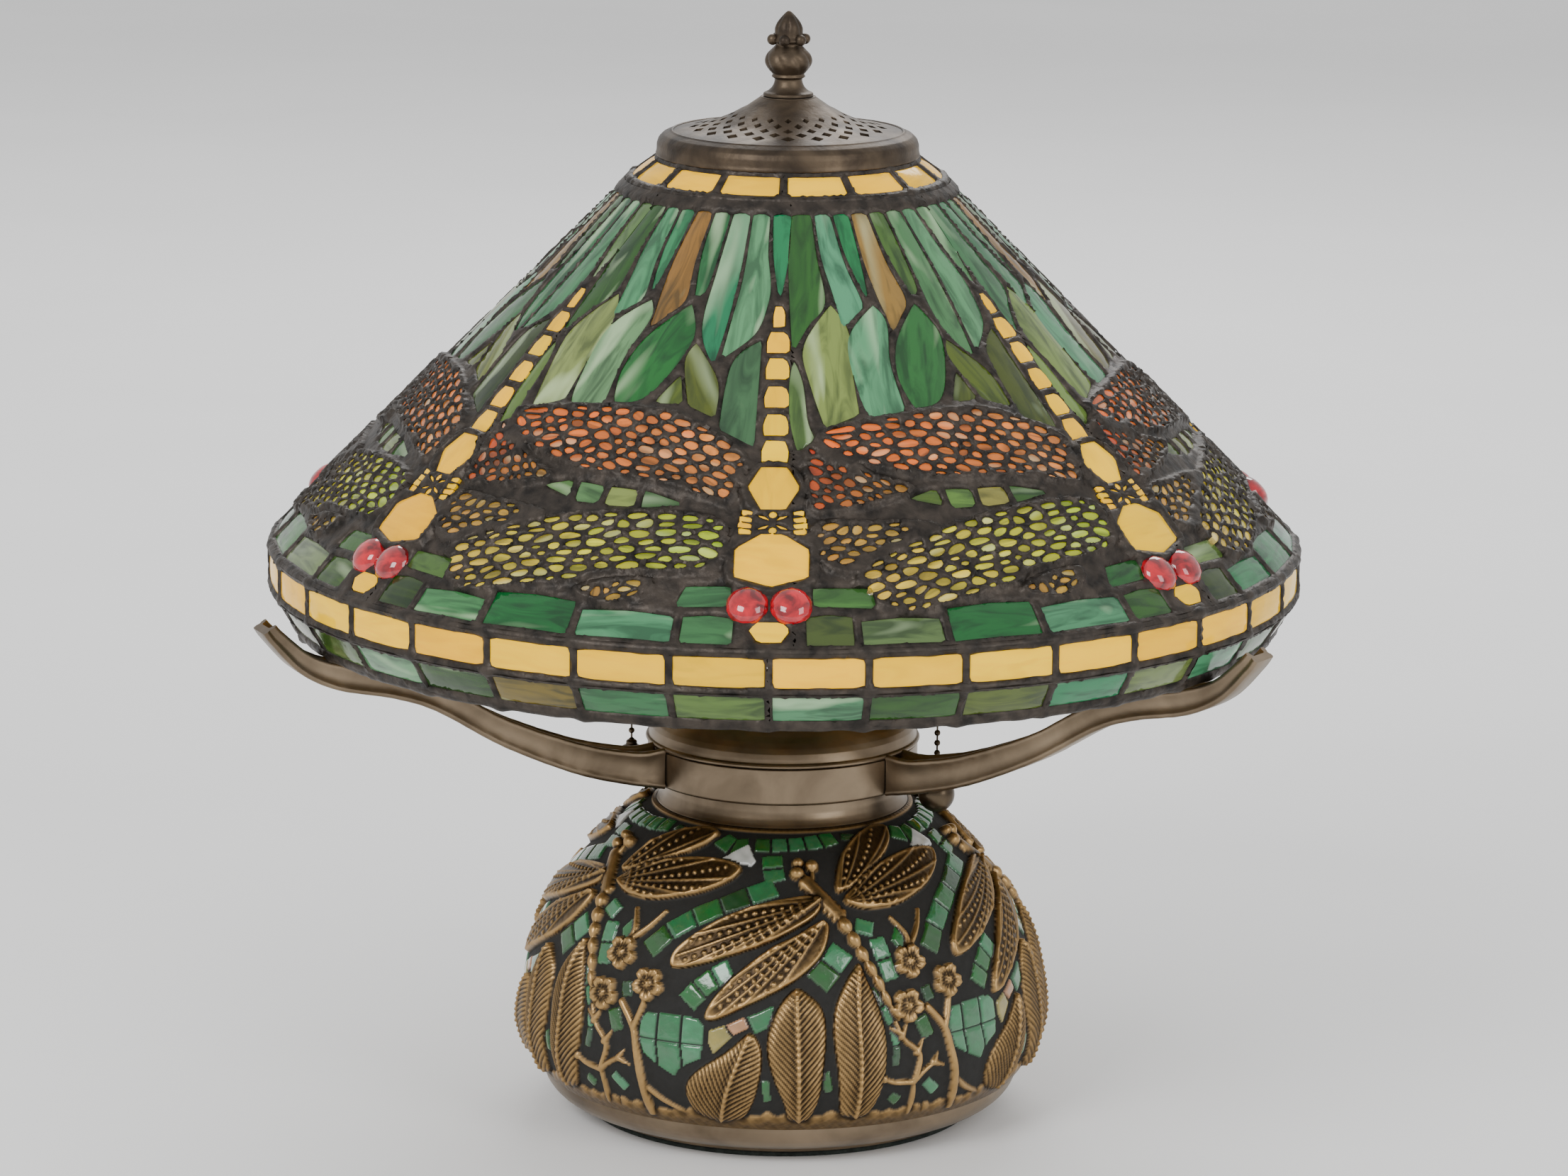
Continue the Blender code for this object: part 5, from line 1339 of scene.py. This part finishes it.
def make_arms():
    start, rim, low = 54.1, 195.0, 135.2
    stations = [(0.0, 0.0), (0.125, 0.07), (0.28, 0.195), (0.49, 0.45), (0.685, 0.76), (0.81, 0.885), (0.97, 0.985)]
    line = [(start + (rim - start) * out, low + 53.6 * up) for out, up in stations]
    line += [(rim + 26.0 * out, low + 53.6 + 24.0 * up) for out, up in ((0.42, 0.29), (0.86, 0.79), (1.0, 1.0))]
    line = resampled(curve(line, 8), 1.6, False)
    run = np.gradient(line, axis=0)
    run /= np.linalg.norm(run, axis=1)[:, None]
    share = np.linspace(0.0, 1.0, len(line))
    depth = 10.2 + 4.0 * np.clip(1 - share / 0.45, 0, 1) - 4.2 * np.clip((share - 0.8) / 0.2, 0, 1)
    depth += 2.6 * np.exp(-(share / 0.045) ** 2)
    for side, azimuth in ARM_AZ.items():
        out, across = directions(azimuth)
        points = []
        for k, (x, z) in enumerate(line):
            normal = np.array((-run[k, 1], run[k, 0])) if k else np.array((0.0, 1.0))
            for y, h in arm_section(depth[k]):
                wave = 0.09 * ripple(x * 0.5 + y, h * 1.1 + azimuth)
                px, pz = x + normal[0] * h, z + normal[1] * h
                reach = max(px, 54.05 if abs(y) < 6.7 else px)
                points.append(reach * out + (y + wave) * across + np.array((0, 0, pz + wave)))
        count = len(arm_section(10.0))
        faces = quads(len(line), count, flip=True)
        faces.append(tuple(range(count)))
        faces.append(tuple(range((len(line) - 1) * count, len(line) * count))[::-1])
        make("arm_%s_cast" % side, points, faces, BRONZE, "base", ["arm_" + side], sharp=60)


def lead_ring(name, radius, height, thick, node, joints):
    """A lead round the shade, lumpy, with a blob of solder at every joint."""
    around, about = 630, 12
    angles = np.linspace(0, 2 * math.pi, around, endpoint=False)
    every = 2 * math.pi / joints
    off = (angles - math.radians(AXIS_AZ) + every / 2) % every - every / 2
    blob = np.exp(-(off * radius / 2.6) ** 2)
    points = []
    for i, a in enumerate(angles):
        size = thick * (1 + 0.07 * math.sin(a * 61) + 0.05 * math.sin(a * 97 + 2) + 0.3 * blob[i])
        for s in range(about):
            b = 2 * math.pi * s / about
            r = radius + size * math.cos(b)
            points.append((r * math.cos(a), r * math.sin(a), height + size * math.sin(b)))
    make(name, points, quads(around, about, True, True), LEAD, "shade", [node], sharp=70)


def make_leads():
    for name, radius, height, thick, node, joints in (
            ("upper_lead", 61.5, 374.9, 2.1, "upper_came", 14),
            ("shoulder_lead", 202.2, 231.2, 2.2, "border_came", 35),
            ("middle_lead", 202.1, 216.9, 2.1, "skirt_came", 35),
            ("bottom_lead", 193.6, 202.4, 2.3, "rim_wire", 35),
            ("cap_lead", 50.6, 383.4, 1.5, "cap_ring_glass", 14)):
        lead_ring(name, radius, height, thick, node, joints)


def crown_height(radius):
    radii = [10.5, 16.4, 21.5, 28.2, 37.6, 45.3, 49.4]
    return np.interp(radius, radii, [407.7, 403.6, 401.2, 398.2, 395.7, 393.9, 392.4])


def circle(radius, count):
    turns = [2 * math.pi * k / count for k in range(count)]
    return [(radius * math.cos(t), radius * math.sin(t)) for t in turns]


def diamond(radius, azimuth, up, across):
    """A vent's outline, long way out from the axis: twelve points from corner to corner."""
    ends = [(up, 0), (0, across), (-up, 0), (0, -across), (up, 0)]
    loop = []
    for k in range(12):
        corner, mix = k // 3, k % 3 / 3
        u = ends[corner][0] * (1 - mix) + ends[corner + 1][0] * mix
        v = ends[corner][1] * (1 - mix) + ends[corner + 1][1] * mix
        r = radius + u
        loop.append((r * math.cos(azimuth) - v * math.sin(azimuth), r * math.sin(azimuth) + v * math.cos(azimuth)))
    loop = np.array(loop)
    return loop if area_of(loop) > 0 else loop[::-1]


def make_cap():
    """Cap: a smooth neck, five staggered rows of diamond vents, a crease and a rolled rim."""
    points, loops = [], []
    rows, vents = 5, 20
    for row in range(rows):
        share = row / (rows - 1)
        for column in range(vents):
            azimuth = 2 * math.pi * (column + 0.5 * (row % 2)) / vents
            loop = diamond(36.6 - 14.6 * share, azimuth, 2.35 * (1 - share) + 1.6 * share,
                           2.75 * (1 - share) + 1.45 * share)
            loops.append(list(range(len(points), len(points) + len(loop))))
            points.extend(loop.tolist())
    vent_points = len(points)
    outer = list(range(len(points), len(points) + 120))
    points += circle(45.3, 120)
    middle = list(range(len(points), len(points) + 60))
    points += circle(10.5, 60)
    for radius in (12.2, 14.2, 16.4, 18.6, 40.6, 43.0):
        points += circle(radius, 100 if radius > 30 else 60)
    edges = [outer, middle] + loops
    flat, _, faces, _, _, parents = delaunay_2d_cdt([Vector(p) for p in points], [], edges, 1, 1e-5, True)
    flat = np.array([tuple(p) for p in flat])
    crown = [tuple(f) for f, parent in zip(faces, parents) if list(parent) == [0]]
    search = tree_of(np.array(points)[:vent_points])
    gap = gap_to(flat, search)
    top = crown_height(np.hypot(flat[:, 0], flat[:, 1])) - 0.35 * np.exp(-(gap / 0.5) ** 2)
    sub, sides, high, low = skin(None, flat, [f[::-1] for f in crown], top, top - 1.5)
    sides = [face[::-1] for face in sides]
    solid = np.vstack([np.c_[sub, high], np.c_[sub, low]])
    make("cap_crown", solid, sides, DARK_BRONZE, "shade", ["vented_cap"], sharp=50)
    rim = [(44.6, 394.2), (45.4, 394.6), (46.2, 394.0), (48.9, 392.9), (50.6, 391.2), (51.3, 389.2), (51.4, 386.4),
           (51.8, 385.2), (51.4, 384.3), (49.9, 384.4), (49.6, 388.8), (48.4, 390.8), (44.6, 392.4)]
    ring_piece("cap_rim", rim, DARK_BRONZE, "shade", ["vented_cap"], radius=0.5)
    neck = [(10.4, 407.6), (10.9, 407.7), (10.9, 406.3), (4.0, 406.3), (4.0, 407.7)]
    ring_piece("cap_seat", neck, DARK_BRONZE, "shade", ["vented_cap"], 60, 0.2)


def make_finial():
    """Cast finial: flared foot, necks, a gadrooned bulb, a ring of balls and a ribbed bud."""
    base, high, wide = 408.0, 33.0, 8.9
    outline = [(1.1, 0.0), (1.08, 0.03), (0.9, 0.055), (0.72, 0.1), (0.62, 0.16), (0.62, 0.2), (0.74, 0.225),
               (0.7, 0.255), (0.84, 0.3), (0.97, 0.36), (1.0, 0.42), (0.93, 0.49), (0.74, 0.55), (0.6, 0.59),
               (0.6, 0.62), (0.72, 0.65), (0.62, 0.7), (0.6, 0.75), (0.58, 0.8), (0.47, 0.87), (0.28, 0.94),
               (0.1, 0.99), (0.02, 1.0)]
    outline = curve(outline, 4)
    points = []
    around = 96
    for share_r, share_z in outline:
        bulb = math.exp(-((share_z - 0.42) / 0.12) ** 2)
        bud = math.exp(-((share_z - 0.84) / 0.11) ** 2)
        for s in range(around):
            a = 2 * math.pi * s / around
            lobes = 1 + 0.1 * bulb * (abs(math.cos(4 * (a + 2.2 * (share_z - 0.42)))) ** 0.6 - 0.6)
            lobes *= 1 + 0.14 * bud * (abs(math.cos(3 * a)) ** 0.7 - 0.6)
            r = wide * share_r * lobes
            points.append((r * math.cos(a), r * math.sin(a), base + high * share_z))
    faces = quads(len(outline), around)
    faces.append(tuple(range(around))[::-1])
    faces.append(tuple(range((len(outline) - 1) * around, len(outline) * around)))
    balls = [globe((6.5 * math.cos(a), 6.5 * math.sin(a), base + 0.665 * high), 2.2, 14, 9)
             for a in np.arange(6) * math.pi / 3 + 0.26]
    points, faces = joined([(points, faces), *balls])
    make("finial_cast", points, faces, DARK_BRONZE, "finial", ["finial"], sharp=60)


def along_axis(node, azimuth):
    """Where a CAD piece starts and ends along a light's axis, in millimetres."""
    way = directions(azimuth)[0]
    runs = [way @ np.array(v.co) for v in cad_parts[node].data.vertices]
    return min(runs) / MM, max(runs) / MM


def light_piece(name, side, outline, steps, mat, body, node, sharp):
    """A piece turned about one light's axis."""
    points, faces = turned(outline, steps)
    make(name, aimed(points, LIGHT_AZ[side]), faces, mat, body, [node + side], sharp=sharp)


def make_hub():
    hub = [(6.1, 210.0), (11.4, 210.0), (12.0, 210.6), (12.0, 213.0), (11.2, 213.8), (11.2, 218.2), (12.0, 219.0),
           (12.0, 233.0), (11.2, 233.8), (11.2, 238.2), (12.0, 239.0), (12.0, 241.2), (11.2, 242.0), (3.9, 242.0),
           (3.9, 232.0), (6.1, 232.0)]
    branch = [(0.1, 10.5), (5.5, 10.5), (5.5, 35.0), (6.6, 35.6), (6.6, 37.7), (0.1, 37.7)]
    parts = [turned(rounded(hub, 0.3), 64)]
    for azimuth in LIGHT_AZ.values():
        points, faces = turned(rounded(branch, 0.3), 40)
        parts.append((aimed(points, azimuth), faces))
    points, faces = joined(parts)
    make("hub", points, faces, BRASS, "base", ["cluster_hub"], sharp=45)


def make_lights():
    cap = [(7.0, 38.0), (8.8, 38.0), (9.6, 38.5), (12.6, 40.6), (15.4, 43.6), (16.7, 47.4), (17.0, 49.2),
           (17.5, 49.9), (17.5, 51.0), (17.0, 51.6), (17.0, 53.0), (16.2, 53.0), (16.2, 48.0), (12.0, 42.4),
           (7.0, 39.2)]
    shell = [(16.2, 53.3), (17.0, 53.3), (17.0, 56.4), (17.6, 57.2), (17.6, 58.2), (17.0, 59.0), (17.0, 94.0),
             (17.5, 94.7), (17.5, 95.7), (17.0, 96.4), (17.0, 101.6), (17.6, 102.3), (17.6, 103.1), (17.1, 103.3),
             (16.2, 103.1)]
    for side, azimuth in LIGHT_AZ.items():
        light_piece("socket_cap_%s_spun" % side, side, rounded(cap, 0.4), 72, SOCKET_BRASS, "base",
                    "socket_cap_", 45)
        light_piece("socket_shell_%s_spun" % side, side, rounded(shell, 0.3), 72, SOCKET_BRASS, "base",
                    "socket_shell_", 45)
        low, high = along_axis("bulb_base_" + side, azimuth)
        wide = 0.5 * (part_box("bulb_base_" + side)[1].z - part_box("bulb_base_" + side)[0].z) / MM
        thread = [(0.1, low), (4.0, low), (6.0, low + 1.4)]
        thread += [(wide - 0.7 * (k % 2), low + 3.0 + 1.7 * k) for k in range(int((high - low - 5) / 1.7))]
        thread += [(wide, high - 1.0), (wide, high), (0.1, high)]
        light_piece("bulb_thread_" + side, side, rounded(thread, 0.5), 56, BULB_CAP, "bulb_" + side,
                    "bulb_base_", 60)
        low, high = along_axis("bulb_glass_" + side, azimuth)
        round_end = [(24.0 * math.sin(a), high - 24.0 + 24.0 * math.cos(a)) for a in np.linspace(0.02, 2.2, 18)]
        envelope = round_end + [(14.6, low + 12.0), (13.0, low + 6.0), (12.4, low), (0.1, low)]
        light_piece("bulb_envelope_" + side, side, envelope, 64, BULB_GLASS, "bulb_" + side,
                    "bulb_glass_", 70)


def make_pulls():
    """Bead chains: beads on a wire, and a ball with a collar at the end."""
    for side, azimuth in LIGHT_AZ.items():
        x, y = CHAIN_LINE * directions(azimuth)[0][:2]
        top, low = LIGHT_Z + 1.6, BALL_Z + 8.6
        count = int((top - low) / 3.9)
        beads = [globe((x, y, top - k * (top - low) / count), 1.25, 14, 10) for k in range(count + 1)]
        wire = [(0.02, low - 0.6), (0.38, low - 0.6), (0.38, top), (0.02, top)]
        points, faces = joined(beads + [turned(wire, 10, (x, y))])
        make("chain_beads_" + side, points, faces, PULL_BRONZE, "pull_" + side, ["pull_chain_" + side])
        profile = ((0.6, 6.6), (2.6, 6.6), (2.2, 7.6), (2.3, 8.2), (1.6, 8.9), (0.6, 8.9))
        collar = [(radius, BALL_Z + up) for radius, up in profile]
        points, faces = joined([globe((x, y, BALL_Z), BALL_R, 40, 24), turned(rounded(collar, 0.3), 32, (x, y))])
        make("chain_ball_" + side, points, faces, PULL_BRONZE, "pull_" + side, ["pull_ball_" + side])


def dress_frame():
    """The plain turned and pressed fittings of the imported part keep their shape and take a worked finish."""
    finishes = {"base_plate": (PLATE_STEEL, "plate_steel"), "cord_bushing": (RUBBER, "bushing_rubber"),
                "lamp_pipe": (STEEL, "fitting_steel"), "base_washer": (STEEL, "fitting_steel"),
                "base_nut": (STEEL, "fitting_steel"), "dome_washer": (BRASS, "fitting_brass"),
                "dome_nut": (BRASS, "fitting_brass"), "riser_nut": (BRASS, "fitting_brass"),
                "riser_rod": (STEEL, "fitting_steel")}
    for side in ARM_AZ:
        finishes["arm_screw_" + side] = (STEEL, "screw_steel")
    for side in LIGHT_AZ:
        finishes["socket_insulator_" + side] = (INSULATOR, "insulator")
        finishes["screw_shell_" + side] = (CONTACT, "contact_brass")
        finishes["chain_guide_" + side] = (SOCKET_BRASS, "socket_brass")
        finishes["switch_rotor_" + side] = (SOCKET_BRASS, "socket_brass")
    for node, (mat, slot) in finishes.items():
        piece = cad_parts[node]
        piece.data.materials.clear()
        piece.data.materials.append(mat)


make_base_metal()
make_arms()
make_leads()
make_cap()
make_finial()
make_hub()
make_lights()
make_pulls()
dress_frame()


# ---------------------------------------------------------------- stage

def plane(name, low, high, mat):
    mesh = bpy.data.meshes.new(name)
    mesh.from_pydata([(low[0], low[1], low[2]), (high[0], low[1], low[2]), (high[0], high[1], high[2]),
                      (low[0], high[1], high[2])], [], [(0, 1, 2, 3)])
    mesh.materials.append(mat)
    made = bpy.data.objects.new(name, mesh)
    bpy.context.scene.collection.objects.link(made)
    return made


def soft_lamp(name, place, target, size, power):
    data = bpy.data.lights.new(name, "AREA")
    data.shape = "RECTANGLE"
    data.size, data.size_y = size
    data.energy = power
    made = bpy.data.objects.new(name, data)
    made.location = place
    made.rotation_euler = (Vector(target) - Vector(place)).to_track_quat("-Z", "Y").to_euler()
    bpy.context.scene.collection.objects.link(made)


def set_stage():
    pale = soft_solid("studio_floor", (0.9, 0.9, 0.9), (0.93, 0.93, 0.93), (0.6, 0.8), 3.0, 0.02)
    plane("floor", (-6, -6, 0), (6, 6, 0), pale)
    world = bpy.data.worlds.new("studio")
    bpy.context.scene.world = world
    world.use_nodes = True
    world.node_tree.nodes["Background"].inputs["Color"].default_value = (1.0, 1.0, 1.0, 1.0)
    world.node_tree.nodes["Background"].inputs["Strength"].default_value = 0.85
    soft_lamp("key", (-1.5, -2.2, 2.0), (0, 0, 0.22), (1.3, 1.3), 52)
    soft_lamp("fill", (1.9, -1.9, 1.3), (0, 0, 0.22), (1.1, 1.5), 22)
    soft_lamp("back", (0.3, 2.2, 1.9), (0, 0, 0.3), (1.6, 1.0), 30)


def set_camera():
    """A long lens, a little above the rim of the shade."""
    data = bpy.data.cameras.new("camera")
    data.sensor_width = 36.0
    data.lens = 126.9
    made = bpy.data.objects.new("camera", data)
    bpy.context.scene.collection.objects.link(made)
    rise = math.radians(12.4)
    target = Vector((0.0, 0.0, 0.211))
    made.location = target + Vector((0.0, -math.cos(rise), math.sin(rise))) * 2.2
    look = (target - made.location).to_track_quat("-Z", "Y").to_matrix()
    roll = Matrix.Rotation(math.radians(0.5), 3, "Z")
    made.rotation_euler = (look @ roll).to_euler()
    bpy.context.scene.camera = made


set_stage()
set_camera()
